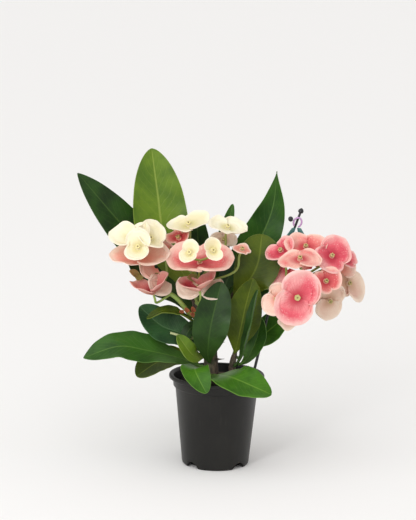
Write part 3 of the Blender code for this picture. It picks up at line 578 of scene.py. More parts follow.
LEAVES = [
    # name, branch, place on it, points to the tip,
    # upper face, width, colour, widest place, bluntness of the tip, fold in degrees, wave
    ("upright", "left", 0.86, [(-38, 30, 200), (-59, 42, 238), (-67, 48, 285), (-74, 52, 332)],
     (0.1, -1.0, 0.15), 58, "young", 0.58, 0.62, 10, 1.3),
    ("far_left", "left", 0.2, [(-34, 44, 178), (-58, 56, 200), (-101, 60, 242), (-153, 50, 304)],
     (0.3, -0.9, 0.25), 44, "dark", 0.58, 0.8, 14, 1.2),
    ("tall_right", "right", 0.62, [(25, 34, 205), (45, 38, 240), (57, 36, 274), (60, 28, 313)],
     (-0.15, -1.0, 0.1), 42, "mature", 0.5, 1.35, 16, 1.6),
    ("round_olive", "right", 0.85, [(29, 2, 194), (41, 1, 218), (45, 1, 250)],
     (0.0, -1.0, 0.12), 48, "olive", 0.66, 0.5, 6, 1.2),
    ("low_olive", "shoot", 0.92, [(24, -9, 148), (29, -15, 176), (36, -18, 206)],
     (0.1, -1.0, 0.1), 38, "olive", 0.52, 0.7, 8, 0.9),
    ("edge_on", "shoot", 0.45, [(27, -18, 126), (34, -34, 160), (41, -32, 197)],
     (-0.95, -0.3, 0.2), 16, "dark", 0.6, 0.55, 24, 0.6),
    ("low_right", "shoot", 0.5, [(33, 2, 116), (42, 4, 136), (46, 3, 159)],
     (-0.35, -1.0, 0.2), 21, "mature", 0.6, 0.55, 14, 0.8),
    ("far_right", "shoot", 0.7, [(36, 22, 128), (54, 26, 139), (76, 22, 160)],
     (-0.3, -0.9, 0.55), 32, "bright", 0.6, 0.55, 14, 0.9),
    ("centre", "main", 0.4, [(-10, -18, 128), (-7, -26, 158), (3, -24, 203)],
     (0.0, -1.0, 0.15), 38, "dark", 0.56, 0.55, 12, 1.2),
    ("blue_green", "main", 0.62, [(-38, -1, 141), (-60, -2, 150), (-83, -6, 171)],
     (-0.15, -0.8, 0.65), 36, "blue", 0.55, 0.55, 12, 1.0),
    ("narrow_left", "left", 0.5, [(-38, -12, 165), (-56, -18, 170), (-75, -18, 161)],
     (0.0, -0.35, 1.0), 15, "olive", 0.6, 0.55, 14, 0.6),
    ("long_left", "main", 0.3, [(-40, -6, 116), (-75, -16, 126), (-105, -22, 131), (-141, -26, 119)],
     (0.05, -0.6, 0.8), 39, "mature", 0.6, 0.8, 10, 1.8),
    ("low_left", "main", 0.2, [(-34, 20, 108), (-60, 20, 106), (-86, 10, 91)],
     (0.0, -0.5, 0.85), 34, "olive", 0.62, 0.5, 14, 0.8),
    ("young_up", "main", 0.5, [(-25, -19, 122), (-33, -27, 133), (-42, -28, 146)],
     (0.4, -0.85, 0.4), 18, "young", 0.6, 0.55, 14, 0.4),
    ("young_down", "main", 0.15, [(-22, -26, 110), (-22, -46, 110), (-11, -64, 93)],
     (-0.1, -0.5, 0.9), 29, "bright", 0.55, 0.55, 14, 0.7),
    ("front_right", "main", 0.12, [(4, -24, 103), (20, -50, 105), (57, -58, 91)],
     (0.12, -0.5, 0.85), 46, "bright", 0.54, 0.6, 8, 1.4),
    ("back_right", "right", 0.75, [(30, 28, 178), (44, 32, 184), (57, 32, 198)],
     (-0.3, -0.9, 0.3), 22, "mature", 0.6, 0.55, 14, 0.7),
    ("teal", "right", 0.9, [(8, 15, 193), (14, 17, 206), (24, 19, 222)],
     (-0.3, -1.0, 0.1), 22, "blue", 0.6, 0.55, 14, 0.7),
    ("slim_top", "right", 0.35, [(3, 34, 190), (4, 42, 230), (14, 46, 274)],
     (0.0, -1.0, 0.15), 15, "mature", 0.6, 0.55, 18, 0.8),
    ("dark_back", "left", 0.6, [(-20, 30, 192), (-22, 58, 222), (-25, 62, 262)],
     (0.0, -1.0, 0.2), 26, "dark", 0.6, 0.55, 14, 0.9),
    ("behind_left", "left", 0.45, [(-42, 10, 178), (-70, 12, 196), (-97, 8, 230)],
     (0.2, -0.9, 0.4), 28, "dark", 0.66, 0.55, 14, 0.9),
    ("small_left", "main", 0.9, [(-25, -8, 151), (-32, -14, 145), (-36, -16, 132)],
     (-0.3, -0.9, 0.3), 13, "dark", 0.6, 0.55, 14, 0.4),
    ("back_tall", "main", 0.75, [(-10, 44, 166), (-22, 80, 196), (-32, 104, 232)],
     (0.1, -0.8, 0.6), 44, "mature", 0.62, 0.55, 14, 1.2),
    ("back_low", "right", 0.4, [(24, 46, 164), (36, 74, 182), (48, 92, 202)],
     (-0.1, -0.7, 0.7), 40, "mature", 0.62, 0.55, 14, 1.2),
]
for row in LEAVES:
    leaf(*row)


# Blooms.
# Each is a pair of rounded, petal-like bracts that overlap at their sides and are joined at the stalk.
# They open cream and turn coral pink with darker veins, and the oldest dry to tan.
BRACT_COLOURS = {
    # throat, body, pale patches, deep patches and veins, edge, underside, strength of veins, of specks, slot
    "cream": ("#E6DC9C", "#FCF5D2", "#FEFAE8", "#F3E8C0", "#FEF8E6", "#F7ECCC", 0.3, 0.1, "bract_cream"),
    "blush": ("#EFA08C", "#FABAA6", "#FDE6D6", "#EE8C80", "#FEEADC", "#F2CFB6", 0.5, 0.4, "bract_pink"),
    "coral": ("#CC3E4A", "#F0807E", "#FBCFBE", "#D8434F", "#FBDACB", "#EBB09C", 0.6, 0.7, "bract_pink"),
    "rose": ("#C63448", "#EF6F7C", "#FACBC5", "#D43A52", "#FBD3CC", "#E6A096", 0.6, 0.7, "bract_pink"),
    "deep": ("#A62A3A", "#D4525D", "#F1A79C", "#B83044", "#F3C2B6", "#E0AC94", 0.5, 0.5, "bract_pink"),
    "tan": ("#D2AC8C", "#EDD3BE", "#F5E4D2", "#DBA698", "#F6E6D6", "#E8CFB6", 0.5, 0.3, "bract_tan"),
}


def bract_material(name, throat, body, pale, deep, edge, vein_strength, speck_strength):
    """Petal skin: soft, thin enough to let light through, darkest at the throat, veined and specked."""
    mat, tree, place = new_material(name)
    around = add(tree, "SeparateXYZ", {0: place.node.outputs["UV"]})
    outer = around.node.outputs[1]
    patches, cloud, fine, dots = [
        add(tree, "TexNoise", {"Vector": place, "Scale": per_mm(size), "Detail": detail, "Roughness": rough})
        for size, detail, rough in ((30.0, 2.0, 0.4), (6.0, 3.0, 0.55), (0.9, 4.0, 0.65), (1.3, 2.0, 0.5))]
    ragged = add(tree, "Math", {0: outer, 1: 0.13}, operation="SUBTRACT")
    ragged = add(tree, "Math", {0: cloud, 1: 0.26, 2: ragged}, operation="MULTIPLY_ADD")
    branching = add(tree, "Math", {0: cloud, 1: 1.5}, operation="MULTIPLY")
    broad = add(tree, "Math", {0: around, 1: 17.0, 2: branching}, operation="MULTIPLY_ADD")
    narrow = add(tree, "Math", {0: around, 1: 47.0, 2: branching}, operation="MULTIPLY_ADD")
    broad = vein_lines(tree, broad, 0.13, 1.0, ragged, 0.95, 0.25)
    narrow = vein_lines(tree, narrow, 0.2, 0.6, ragged, 0.95, 0.5)
    veins = add(tree, "Math", {0: broad, 1: narrow}, operation="MAXIMUM")
    specks = add(tree, "MapRange", {"Value": dots, "From Min": 0.61, "From Max": 0.67,
                                    "To Max": speck_strength}, interpolation_type="SMOOTHSTEP")
    off_throat = add(tree, "MapRange", {"Value": outer, "From Min": 0.25, "From Max": 0.7},
                     interpolation_type="SMOOTHSTEP")
    base = tint(tree, linear(body), patches, 0.44, 0.66, 0.8, pale)
    base = tint(tree, base, patches, 0.52, 0.32, 0.6, deep)
    base = tint(tree, base, ragged, 0.55, 0.04, 0.9, throat)
    base = tint(tree, base, ragged, 0.62, 1.05, 1.0, edge)
    base = cover(tree, base, veins, vein_strength, deep)
    base = cover(tree, base, specks, off_throat, edge)
    height = add(tree, "Math", {0: fine, 1: 0.3}, operation="MULTIPLY")
    height = add(tree, "Math", {0: veins, 1: -0.6, 2: height}, operation="MULTIPLY_ADD")
    bump = add(tree, "Bump", {"Height": height, "Strength": 0.3, "Distance": 0.0004})
    skin = add(tree, "BsdfPrincipled", {"Base Color": base, "Roughness": 0.5, "Specular IOR Level": 0.35,
                                        "Normal": bump})
    glow = add(tree, "BsdfTranslucent", {"Color": base, "Normal": bump})
    add(tree, "OutputMaterial", {"Surface": add(tree, "MixShader", {0: 0.28, 1: skin, 2: glow})})
    return mat


bract_finish = {}
for key, (throat, body, pale, deep, edge, under, lines, specks, _) in BRACT_COLOURS.items():
    upper = bract_material("bract_" + key, throat, body, pale, deep, edge, lines, specks)
    lower = bract_material("bract_under_" + key, under, under, pale, deep, edge, lines * 0.7, 0.1)
    bract_finish[key] = (upper, lower)


def bloom_frame(axis, roll):
    """Two directions across a bloom, turned by its roll, and the way it faces."""
    up = Vector(axis).normalized()
    ref = Vector((0, 0, 1)) if abs(up.z) < 0.9 else Vector((0, -1, 0))
    across = ref.cross(up).normalized()
    other = up.cross(across)
    a = math.radians(roll)
    x = across * math.cos(a) + other * math.sin(a)
    return x, up.cross(x), up


BRACT_THICKNESS = 0.6
BRACT_FOOT = 2.4
RIPPLE = 0.8
# radius, height over the hub
RING_SHAPE = ((1.75, -0.2), (3.0, -0.2), (3.15, 1.2), (2.9, 2.5), (1.75, 2.6))
RING_SIDES = 20


def bract(centre, x, y, up, size, cup, arch, colour, raised, phase, fan=98.0):
    """One bract shaped from a subdivided square laid out as a fan, then given its thickness."""
    bpy.ops.mesh.primitive_grid_add(x_subdivisions=44, y_subdivisions=16, size=2.0)
    blade = bpy.context.object
    fan = math.radians(fan)
    off_centre = 0.42 * size
    for vert in blade.data.vertices:
        a = fan * vert.co.x
        f = (vert.co.y + 1.0) / 2.0
        reach = off_centre * math.cos(a) + math.sqrt(size * size - (off_centre * math.sin(a)) ** 2)
        reach *= 1.0 - 0.10 * max(0.0, abs(a) / fan - 0.7) / 0.3
        reach *= 1.0 + 0.022 * math.exp(-(a / 0.09) ** 2) + 0.012 * math.sin(5.0 * a + phase)
        r = BRACT_FOOT + (reach - BRACT_FOOT) * f
        bend = arch + (cup - arch) * math.sin(a) ** 2
        h = raised + bend * (r / size) ** 2 * (1.0 - 0.07 * max(0.0, f - 0.8) / 0.2)
        h += RIPPLE * f * math.sin(3.0 * a + 0.6)
        h += 0.035 * size * f ** 3 * math.sin(7.0 * a + phase * 1.7) * min(1.0, 1.6 - abs(a))
        swell = noise.noise(Vector((1.1 * math.cos(a), 1.1 * math.sin(a), phase * 3.0)) * (0.6 + f))
        h += 0.16 * size * f * f * swell
        vert.co = (centre + x * (r * math.cos(a)) + y * (r * math.sin(a)) + up * (h + 0.35)) * MM
    thicken(blade, up, BRACT_THICKNESS, bract_finish[colour], 0)
    return blade


def bloom(name, centre, axis, roll, size, cup, arch, colour):
    """Two facing bracts on a short ring round the stalk."""
    centre = Vector(centre)
    x, y, up = bloom_frame(axis, roll)
    draw = random.Random(name)
    parts = []
    for flip, raised in ((1.0, 0.55), (-1.0, 1.9)):
        phase = draw.uniform(0.0, math.tau)
        parts.append(bract(centre, x * flip, y * flip, up, size, cup, arch, colour, raised, phase))
    verts, faces = [], []
    for r, h in RING_SHAPE:
        for k in range(RING_SIDES):
            a = math.tau * k / RING_SIDES
            verts.append(centre + x * (r * math.cos(a)) + y * (r * math.sin(a)) + up * h)
    for i in range(len(RING_SHAPE)):
        low, high = i * RING_SIDES, (i + 1) % len(RING_SHAPE) * RING_SIDES
        for k in range(RING_SIDES):
            n = (k + 1) % RING_SIDES
            faces.append((low + k, low + n, high + n, high + k))
    ring = from_lists("ring", verts, faces, bract_finish[colour][1])
    outward(ring)
    piece = join("flower_" + name, parts + [ring])
    smooth(piece, 60)
    return piece


BLOOMS = [
    # name, hub centre, the way it faces, roll, bract radius, cup across, cup along, colour
    ("left_1", (-91, -10, 245), (-0.35, -0.55, 0.75), 10, 16, 7.0, 4.0, "cream"),
    ("left_2", (-73, -20, 245), (0.35, -0.5, 0.8), 50, 15, 6.0, 5.0, "cream"),
    ("left_3", (-84, -38, 240), (-0.1, -0.8, 0.55), 88, 13, 5.0, 5.0, "cream"),
    ("left_4", (-83, -18, 225), (0.0, -0.38, 0.92), 0, 22, 7.0, 2.0, "blush"),
    ("left_5", (-68, -24, 189), (-0.25, -0.2, 0.95), 0, 14, 11.0, 9.0, "deep"),
    ("left_6", (-53, 2, 229), (0.5, -0.1, 0.85), 20, 13, 4.0, 1.0, "blush"),
    ("centre_1", (-32, 6, 256), (-0.15, -0.35, 0.9), 10, 16, 5.0, 3.0, "cream"),
    ("centre_2", (8, 5, 254), (0.2, -0.4, 0.9), -10, 15, 5.0, 2.0, "cream"),
    ("centre_3", (4, 25, 237), (0.25, -0.6, 0.75), 10, 11, 3.0, 1.0, "tan"),
    ("centre_4", (-42, 4, 242), (-0.4, -0.4, 0.8), 10, 10, 3.0, 2.0, "coral"),
    ("centre_bowl", (-20, -26, 222), (0.0, -0.42, 0.91), 0, 25, 10.0, 2.5, "coral"),
    ("centre_6", (-30, -52, 238), (-0.2, -0.85, 0.5), 80, 9, 5.0, 4.0, "cream"),
    ("centre_7", (-7, -54, 241), (0.2, -0.85, 0.5), 95, 9, 5.0, 4.0, "cream"),
    ("centre_8", (23, -15, 234), (0.3, -0.35, 0.9), 20, 8.5, 2.0, 1.0, "blush"),
    ("centre_9", (-20, -29, 195), (-0.2, -0.2, 0.95), 0, 14, 9.0, 7.0, "deep"),
    ("right_1", (66, -8, 233), (-0.4, -0.6, 0.7), 60, 12, 4.0, 3.0, "rose"),
    ("right_2", (91, -6, 237), (0.0, -0.6, 0.8), 0, 16, 5.0, 3.0, "coral"),
    ("right_3", (84, -38, 230), (0.0, -0.4, 0.9), 5, 16, 2.0, -1.0, "coral"),
    ("right_4", (117, -16, 230), (0.35, -0.7, 0.6), 40, 18, 5.0, 3.0, "rose"),
    ("right_6", (137, 8, 196), (0.6, -0.6, 0.5), 150, 18, 3.0, -2.0, "tan"),
    ("right_7", (110, -40, 208), (0.4, -0.75, 0.5), 20, 13, 4.0, 3.0, "coral"),
    ("right_8", (117, -14, 184), (0.25, -0.85, -0.25), 80, 15, 3.0, 2.0, "tan"),
    ("right_front", (81, -60, 195), (0.05, -0.96, 0.25), 66, 21, 4.0, 3.0, "rose"),
    ("right_11", (62, -38, 189), (-0.4, -0.9, 0.1), 60, 13, 3.0, 2.0, "blush"),
    ("right_5", (135, 4, 222), (0.5, -0.5, 0.7), 30, 10, 3.0, 2.0, "rose"),
    ("right_12", (74, -40, 171), (-0.1, -0.8, -0.6), 70, 10, 3.0, 2.0, "tan"),
]
flowers = {row[0]: bloom(*row) for row in BLOOMS}
# Flowers pressed together are one piece.
for first, *others in (("left_1", "left_2", "left_3"), ("left_4", "left_6"),
                       ("right_1", "right_2", "right_3", "right_4", "right_7")):
    join("flowers_" + first, [flowers[first]] + [flowers.pop(other) for other in others])
LONE_BRACTS = [
    # place, the way it faces, roll, radius, cup across, cup along, colour, fan angle
    ("cream_fold_left", (-86, -26, 247), (0.75, -0.6, 0.35), 80, 9, 4.0, 4.0, "cream", 80),
    ("cream_fold_right", (-78, -32, 246), (-0.6, -0.75, 0.3), 95, 9, 4.0, 5.0, "cream", 80),
    ("coral_back", (73, 4, 214), (-0.3, -0.85, 0.35), 250, 17, 3.0, 1.0, "rose", 95),
    ("coral_middle", (101, 2, 214), (0.1, -0.9, 0.3), 100, 16, 3.0, 3.0, "coral", 90),
    ("coral_right", (127, 6, 213), (0.4, -0.8, 0.4), 30, 15, 3.0, 2.0, "blush", 90),
    ("tan_low", (104, -8, 200), (0.1, -0.9, 0.1), 270, 15, 3.0, 2.0, "tan", 90),
    ("tan_left", (-60, -12, 203), (0.35, -0.85, 0.3), 240, 14, 3.0, 3.0, "tan", 85),
    ("blush_left", (-66, -4, 214), (0.3, -0.8, 0.5), 200, 15, 3.0, 3.0, "blush", 90),
    ("tan_bowl_left", (-28, -20, 203), (-0.3, -0.9, 0.1), 250, 14, 3.0, 3.0, "tan", 85),
    ("tan_bowl_right", (-10, -20, 203), (0.35, -0.9, 0.1), 285, 14, 3.0, 3.0, "tan", 85),
]
for name, centre, axis, roll, size, cup, arch, colour, fan in LONE_BRACTS:
    x, y, up = bloom_frame(axis, roll)
    blade = bract(Vector(centre), x, y, up, size, cup, arch, colour, 0.6, len(name) * 1.3, fan)
    blade.name = "bract_" + name
    smooth(blade, 60)
    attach(blade, "root")
for name, piece in flowers.items():
    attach(piece, "root")
    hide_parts("bloom_" + name)


# Flower stalks.
# Smooth green stalks that fork in pairs, turning olive near the flowers, each ending in a little cup.
# Round the cup's mouth stand five fleshy glands, with the stamens as a few grains in the middle.
def stalk_material(name, body, flush, low, high):
    """Smooth plant skin, half matt, with a second colour that sets in with height and in soft patches."""
    mat, tree, place = new_material(name)
    height = add(tree, "SeparateXYZ", {0: place}, out=2)
    cloud = add(tree, "TexNoise", {"Vector": place, "Scale": per_mm(6.0), "Detail": 3.0, "Roughness": 0.55})
    base = tint(tree, linear(body), height, low * MM, high * MM, 0.7, flush)
    base = tint(tree, base, cloud, 0.4, 0.75, 0.4, flush)
    bump = add(tree, "Bump", {"Height": cloud, "Strength": 0.2, "Distance": 0.0004})
    skin = add(tree, "BsdfPrincipled", {"Base Color": base, "Roughness": 0.48, "Normal": bump})
    add(tree, "OutputMaterial", {"Surface": skin})
    return mat


stalk_green = stalk_material("stalk_green", "#86A04C", "#A29A56", 200.0, 260.0)
cup_cream = stalk_material("cup_cream", "#E9E2AE", "#E6D99A", 150.0, 260.0)
cup_olive = stalk_material("cup_olive", "#B4B06C", "#C8B27C", 150.0, 260.0)
well_olive = stalk_material("well_olive", "#4E4A20", "#3E3A18", 150.0, 260.0)
stamen_brown = stalk_material("stamen_brown", "#5A3A22", "#6E3A26", 150.0, 260.0)
hub = {row[0]: (Vector(row[1]), Vector(row[2]).normalized(), row[7]) for row in BLOOMS}
# height over the hub, radius
CUP_SHAPE = ((3.0, 1.7), (3.9, 2.1), (4.7, 2.15), (5.1, 1.95), (5.0, 1.6), (4.0, 1.45))
FRONT_CUP = 1.45
GLANDS = 5
STAMENS = 4
TRUNK_RINGS = 28
TRUNK_RADIUS = 2.7
TRUNK_TAPER = 0.55
TWIG_RADIUS = 1.25
TWIG_END = 1.7


def flower_cup(centre, up, finish, wide):
    """The cup in a flower's middle, with its well, its glands and its stamens."""
    mouth = [centre + up * h for h, _ in CUP_SHAPE]
    parts = [bar("cup", mouth, [r * wide for _, r in CUP_SHAPE], 20, finish),
             bar("well", [centre + up * 3.9, centre + up * 4.45], [1.5 * wide, 1.5 * wide], 16, well_olive)]
    x, y, _ = bloom_frame(up, 0.0)
    for k in range(GLANDS):
        a = math.tau * k / GLANDS
        out = x * math.cos(a) + y * math.sin(a)
        spot = centre + out * (1.75 * wide) + up * 5.0
        gland = [spot - up * 0.5, spot, spot + up * 0.5 + out * 0.25, spot + up * 0.75 + out * 0.2]
        parts.append(bar("gland", gland, [0.5, 0.72, 0.7, 0.3], 8, finish))
    for k in range(STAMENS):
        a = math.tau * k / STAMENS + 0.4
        spot = centre + (x * math.cos(a) + y * math.sin(a)) * 0.55 + up * 4.3
        grain = [spot, spot + up * 1.2, spot + up * 1.6]
        parts.append(bar("stamen", grain, [0.22, 0.32, 0.12], 6, stamen_brown))
    return parts


def twig(start, way, name):
    """A twig to the named flower, from a place on the trunk or from the mouth of another flower's cup."""
    if isinstance(start, str):
        start = hub[start][0] + hub[start][1] * 4.6
    centre, up, colour = hub[name]
    curve = [Vector(start)] + [Vector(p) for p in way] + [centre - up * 6.0, centre + up * 1.3]
    run = [q for q in evenly(curve, 26) if (q - centre).dot(up) < -2.0 or (q - centre).length > 8.0]
    run += [centre + up * h for h in (-1.4, 2.8, 3.2)]
    parts = [bar("twig", run, [TWIG_RADIUS] * (len(run) - 1) + [TWIG_END], 12, stalk_green)]
    finish = cup_cream if colour == "cream" else cup_olive
    return parts + flower_cup(centre, up, finish, FRONT_CUP if name == "right_front" else 1.0)


def stalks(name, branch, t, trunk, twigs):
    """A trunk that leaves the bark at t along a branch, joined with its twigs."""
    root, out = seat(branch, t, trunk[0], 1.3)
    path = evenly([root, root + out * 5.0] + [Vector(p) for p in trunk], TRUNK_RINGS)
    radii = [TRUNK_RADIUS - TRUNK_TAPER * i / TRUNK_RINGS for i in range(TRUNK_RINGS + 1)]
    parts = [bar("trunk", path, radii, 14, stalk_green)]
    for row in twigs:
        parts += twig(*row)
    piece = join("stalks_" + name, parts)
    outward(piece)
    smooth(piece, 50)
    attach(piece, "root")
    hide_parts("stalk_" + name)


# each twig: where it starts, points on its way, the flower at its end
stalks("left", "left", 0.72, [(-42, -10, 180), (-58, -8, 192), (-66, -5, 204)], [
    ((-50, -10, 186), [(-64, -16, 178)], "left_5"),
    ((-64, -6, 200), [(-80, -8, 208)], "left_4"),
    ("left_4", [(-78, -14, 236)], "left_2"),
    ((-60, -7, 195), [(-55, 4, 203)], "left_6"),
    ("left_4", [(-96, -8, 236)], "left_1"),
    ("left_4", [(-90, -28, 233)], "left_3"),
])
stalks("centre", "left", 0.98, [(-24, -8, 184), (-22, -12, 192), (-22, -11, 201)], [
    ((-22, -11, 199), [(-21, -17, 207)], "centre_bowl"),
    ((-22, -10, 180), [(-19, -24, 180)], "centre_9"),
    ((-22, -11, 200), [(-30, 8, 228)], "centre_1"),
    ((-22, -11, 200), [(4, 8, 228)], "centre_2"),
    ((-22, -11, 199), [(-6, 20, 216)], "centre_3"),
    ((-22, -11, 199), [(-40, 8, 224)], "centre_4"),
    ((-22, -11, 197), [(16, -6, 210)], "centre_8"),
    ("centre_bowl", [(-29, -39, 231)], "centre_6"),
    ("centre_bowl", [(-11, -40, 232)], "centre_7"),
])
stalks("right", "right", 0.97, [(42, 12, 188), (70, 2, 196), (88, -4, 204)], [
    ((80, -2, 200), [(84, -30, 192)], "right_front"),
    ((68, 3, 195), [(64, -18, 188)], "right_11"),
    ((83, -3, 202), [(88, -22, 210)], "right_3"),
    ((72, 1, 197), [(71, -6, 214)], "right_1"),
    ((86.6, -4.3, 203.6), [(90, 4, 222)], "right_2"),
    ((85, -3, 203), [(108, -2, 218)], "right_4"),
    ((84.5, -3, 202.5), [(104, -20, 202)], "right_7"),
    ((86, -4, 203), [(116, 8, 200)], "right_6"),
    ((80, -2, 200), [(104, 2, 188)], "right_8"),
    ((86, -3.6, 203.2), [(118, -4, 217)], "right_5"),
    ((76, -0.5, 198.5), [(72, -24, 180)], "right_12"),
])


# Bracteoles and scales.
# Small leafy flaps where the flower stalks fork, green flushed pink, and dry red-brown scales at their foot.
# A pale, cut leaf stalk stands out from the bark on the left.
FLAP_THICKNESS = 0.45


def small_flap(place, way, face, length, width, finish):
    """Pointed flap from a subdivided square, cupped along its middle."""
    bpy.ops.mesh.primitive_grid_add(x_subdivisions=6, y_subdivisions=10, size=2.0)
    flap = bpy.context.object
    way = Vector(way).normalized()
    side = way.cross(Vector(face)).normalized()
    lift = side.cross(way).normalized()
    for vert in flap.data.vertices:
        c = vert.co.x
        f = (vert.co.y + 1.0) / 2.0
        half = max(width / 2 * math.sin(math.pi * min(0.16 + 0.84 * f, 1.0)) ** 0.7, 0.12)
        bow = 0.25 * length * f * f + half * 0.5 * c * c
        vert.co = (Vector(place) + way * (length * f) + side * (half * c) + lift * bow) * MM
    flap.data.materials.append(finish)
    apply_modifier(flap, "SOLIDIFY", thickness=FLAP_THICKNESS * MM, offset=-1.0, use_even_offset=False)
    return flap


flap_green = stalk_material("flap_green", "#7F9A48", "#D88E78", 190.0, 225.0)
scale_red = stalk_material("scale_red", "#A8603E", "#C8744E", 150.0, 200.0)
GREEN_FLAPS = [
    # foot, the way it points, length, width
    ((-84, -10, 205), (-0.8, -0.5, 0.35), 15, 9), ((-82, -9, 206), (-0.3, -0.8, -0.5), 12, 8),
    ((-64, -6, 203), (0.2, -0.7, 0.7), 12, 8), ((-70, -8, 196), (-0.9, -0.4, -0.1), 11, 7),
    ((-22, -13, 203), (-0.8, -0.6, 0.1), 16, 10), ((-20, -13, 203), (0.8, -0.6, 0.1), 16, 10),
    ((84, -5, 205), (0.3, -0.8, 0.5), 13, 8), ((90, -6, 204), (0.8, -0.5, -0.4), 12, 8),
]
DRY_SCALES = [
    # foot, the way it points, length, width
    ((-25, -14, 168), (-0.3, -0.5, 0.8), 10, 4.5), ((-21, -15, 167), (0.4, -0.4, 0.8), 12, 4.5),
    ((-24, -15, 164), (-0.7, -0.5, 0.5), 9, 4), ((-31, -14, 168), (-0.5, -0.5, 0.7), 9, 4),
    ((-36, -13, 168), (-0.8, -0.6, 0.1), 7, 3.5), ((-18, -15, 171), (0.5, -0.5, 0.7), 8, 4),
]
for name, face, finish, rows in (("bracteoles", (0.1, -0.8, 0.6), flap_green, GREEN_FLAPS),
                                 ("dry_scales", (0.0, -1.0, 0.2), scale_red, DRY_SCALES)):
    piece = join(name, [small_flap(foot, way, face, *size, finish) for foot, way, *size in rows])
    outward(piece)
    smooth(piece, 60)
    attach(piece, "root")

stub_path = evenly([(-12, 2, 134), (-26, -6, 138), (-40, -12, 142), (-50, -14, 145)], 20)
stub_radii = [1.7 - 0.5 * i / 20 for i in range(21)]
stub_pale = stalk_material("stub_pale", "#A9B578", "#C8C6A0", 135.0, 150.0)
stub = bar("cut_leaf_stalk", stub_path, stub_radii, 12, stub_pale)
outward(stub)
smooth(stub, 50)
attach(stub, "root")


# Woody stem and side shoot.
# Knotty wood in grey-brown bark, set with straight, sharp thorns.
# The stem forks in two under the flowers, and a low shoot stands beside it in the soil.
def bark_material():
    """Woody bark: matt grey-brown, cracked along its length, with a green cast in soft patches."""
    mat, tree, place = new_material("grey_bark")
    upright = add(tree, "Mapping", {"Vector": place, "Scale": (1.0, 1.0, 0.4)})
    cracks = add(tree, "TexNoise", {"Vector": upright, "Scale": per_mm(2.4), "Detail": 6.0, "Roughness": 0.7})
    cloud = add(tree, "TexNoise", {"Vector": place, "Scale": per_mm(14.0), "Detail": 3.0, "Roughness": 0.55})
    base = tint(tree, linear("#2E261F"), cracks, 0.35, 0.68, 1.0, "#6B5B4B")
    base = tint(tree, base, cloud, 0.45, 0.7, 0.5, "#4A5236")
    bump = add(tree, "Bump", {"Height": cracks, "Strength": 0.7, "Distance": 0.001})
    shader = add(tree, "BsdfPrincipled", {"Base Color": base, "Roughness": 0.8, "Normal": bump})
    add(tree, "OutputMaterial", {"Surface": shader})
    return mat


bark = bark_material()
# the feet of the thorns grown so far
taken = []
THORN_LENGTH = 8.5
THORN_ROOT = 2.6
THORN_RADII = [1.9, 1.6, 1.15, 0.85, 0.6, 0.42, 0.26, 0.08]


def thorns(branch, spots, seed):
    """The same draw of thorns as in the solids: straight tapering spikes, clear of the leaf seats."""
    rng = random.Random(seed)
    grown = []
    for _ in range(spots * 6):
        t = rng.uniform(0.06, 0.93)
        p, along, r = on_branch(branch, t)
        side = along.orthogonal().normalized()
        a = rng.uniform(0, 2 * math.pi)
        out = side * math.cos(a) + along.cross(side) * math.sin(a)
        out = (out + along * rng.uniform(0.0, 0.25)).normalized()
        foot = p + out * (r - THORN_ROOT)
        tip = p + out * (r + THORN_LENGTH * rng.uniform(0.7, 1.1))
        if any((tip - q).length < 6.0 or (foot - q).length < 7.0 or ((foot + tip) / 2 - q).length < 6.5
               for q in seats + taken):
            continue
        if branch != "main" and t < 0.3:
            continue
        taken.append(foot)
        line = [foot.lerp(tip, k / (len(THORN_RADII) - 1)) for k in range(len(THORN_RADII))]
        grown.append(bar("thorn", line, THORN_RADII, 8, bark))
        if len(grown) == spots:
            break
    return grown


def woody(path, radii, count, sides=28):
    """A knotty round branch along a path, its radii spread evenly from end to end."""
    points = evenly(path, count)
    spread = []
    for i in range(count + 1):
        s = i / count * (len(radii) - 1)
        k = min(int(s), len(radii) - 2)
        spread.append(radii[k] + (radii[k + 1] - radii[k]) * (s - k))
    wood = bar("wood", points, spread, sides, bark)
    for vert in wood.data.vertices:
        knot = noise.noise(vert.co / (6.0 * MM)) * 0.45 + noise.noise(vert.co / (2.0 * MM)) * 0.2
        nearest = min(points, key=lambda q: (q * MM - vert.co).length)
        vert.co += (vert.co - nearest * MM).normalized() * knot * MM
    return wood


parts = [woody([(-6, 5, 30), (-6, 5, 60)] + BRANCHES["main"][0] + [(-9.6, 6, 153)],
               [8.3, 8.3] + BRANCHES["main"][1] + [3.5], 90),
         woody(BRANCHES["left"][0] + [(-27, 1.6, 180)], BRANCHES["left"][1] + [2.4], 34),
         woody(BRANCHES["right"][0] + [(18, 11.3, 185)], BRANCHES["right"][1] + [2.2], 40)]
parts += thorns("main", 12, 3) + thorns("left", 6, 5) + thorns("right", 6, 8)
stem = join("woody_stem", parts)
outward(stem)
smooth(stem)
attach(stem, "root")
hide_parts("stem")

parts = [woody([(16, 8, 45), (16, 8, 70)] + BRANCHES["shoot"][0] + [(21, 8.8, 127)],
               [4.1, 4.1] + BRANCHES["shoot"][1] + [1.6], 70, 20)]
parts += thorns("shoot", 4, 12)
low_shoot = join("low_shoot", parts)
outward(low_shoot)
smooth(low_shoot)
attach(low_shoot, "root")
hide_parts("side_shoot")


# Support rod.
# Steel wire in black plastic, pushed into the soil inside the rim and bowed outward by the plant's weight.
# A moulded mushroom-shaped cap closes its end.
def plastic(name, colour, rough):
    """Plain moulded plastic: one colour and a soft shine all over."""
    mat, tree, _ = new_material(name)
    shader = add(tree, "BsdfPrincipled", {"Base Color": linear(colour), "Roughness": rough})
    add(tree, "OutputMaterial", {"Surface": shader})
    return mat


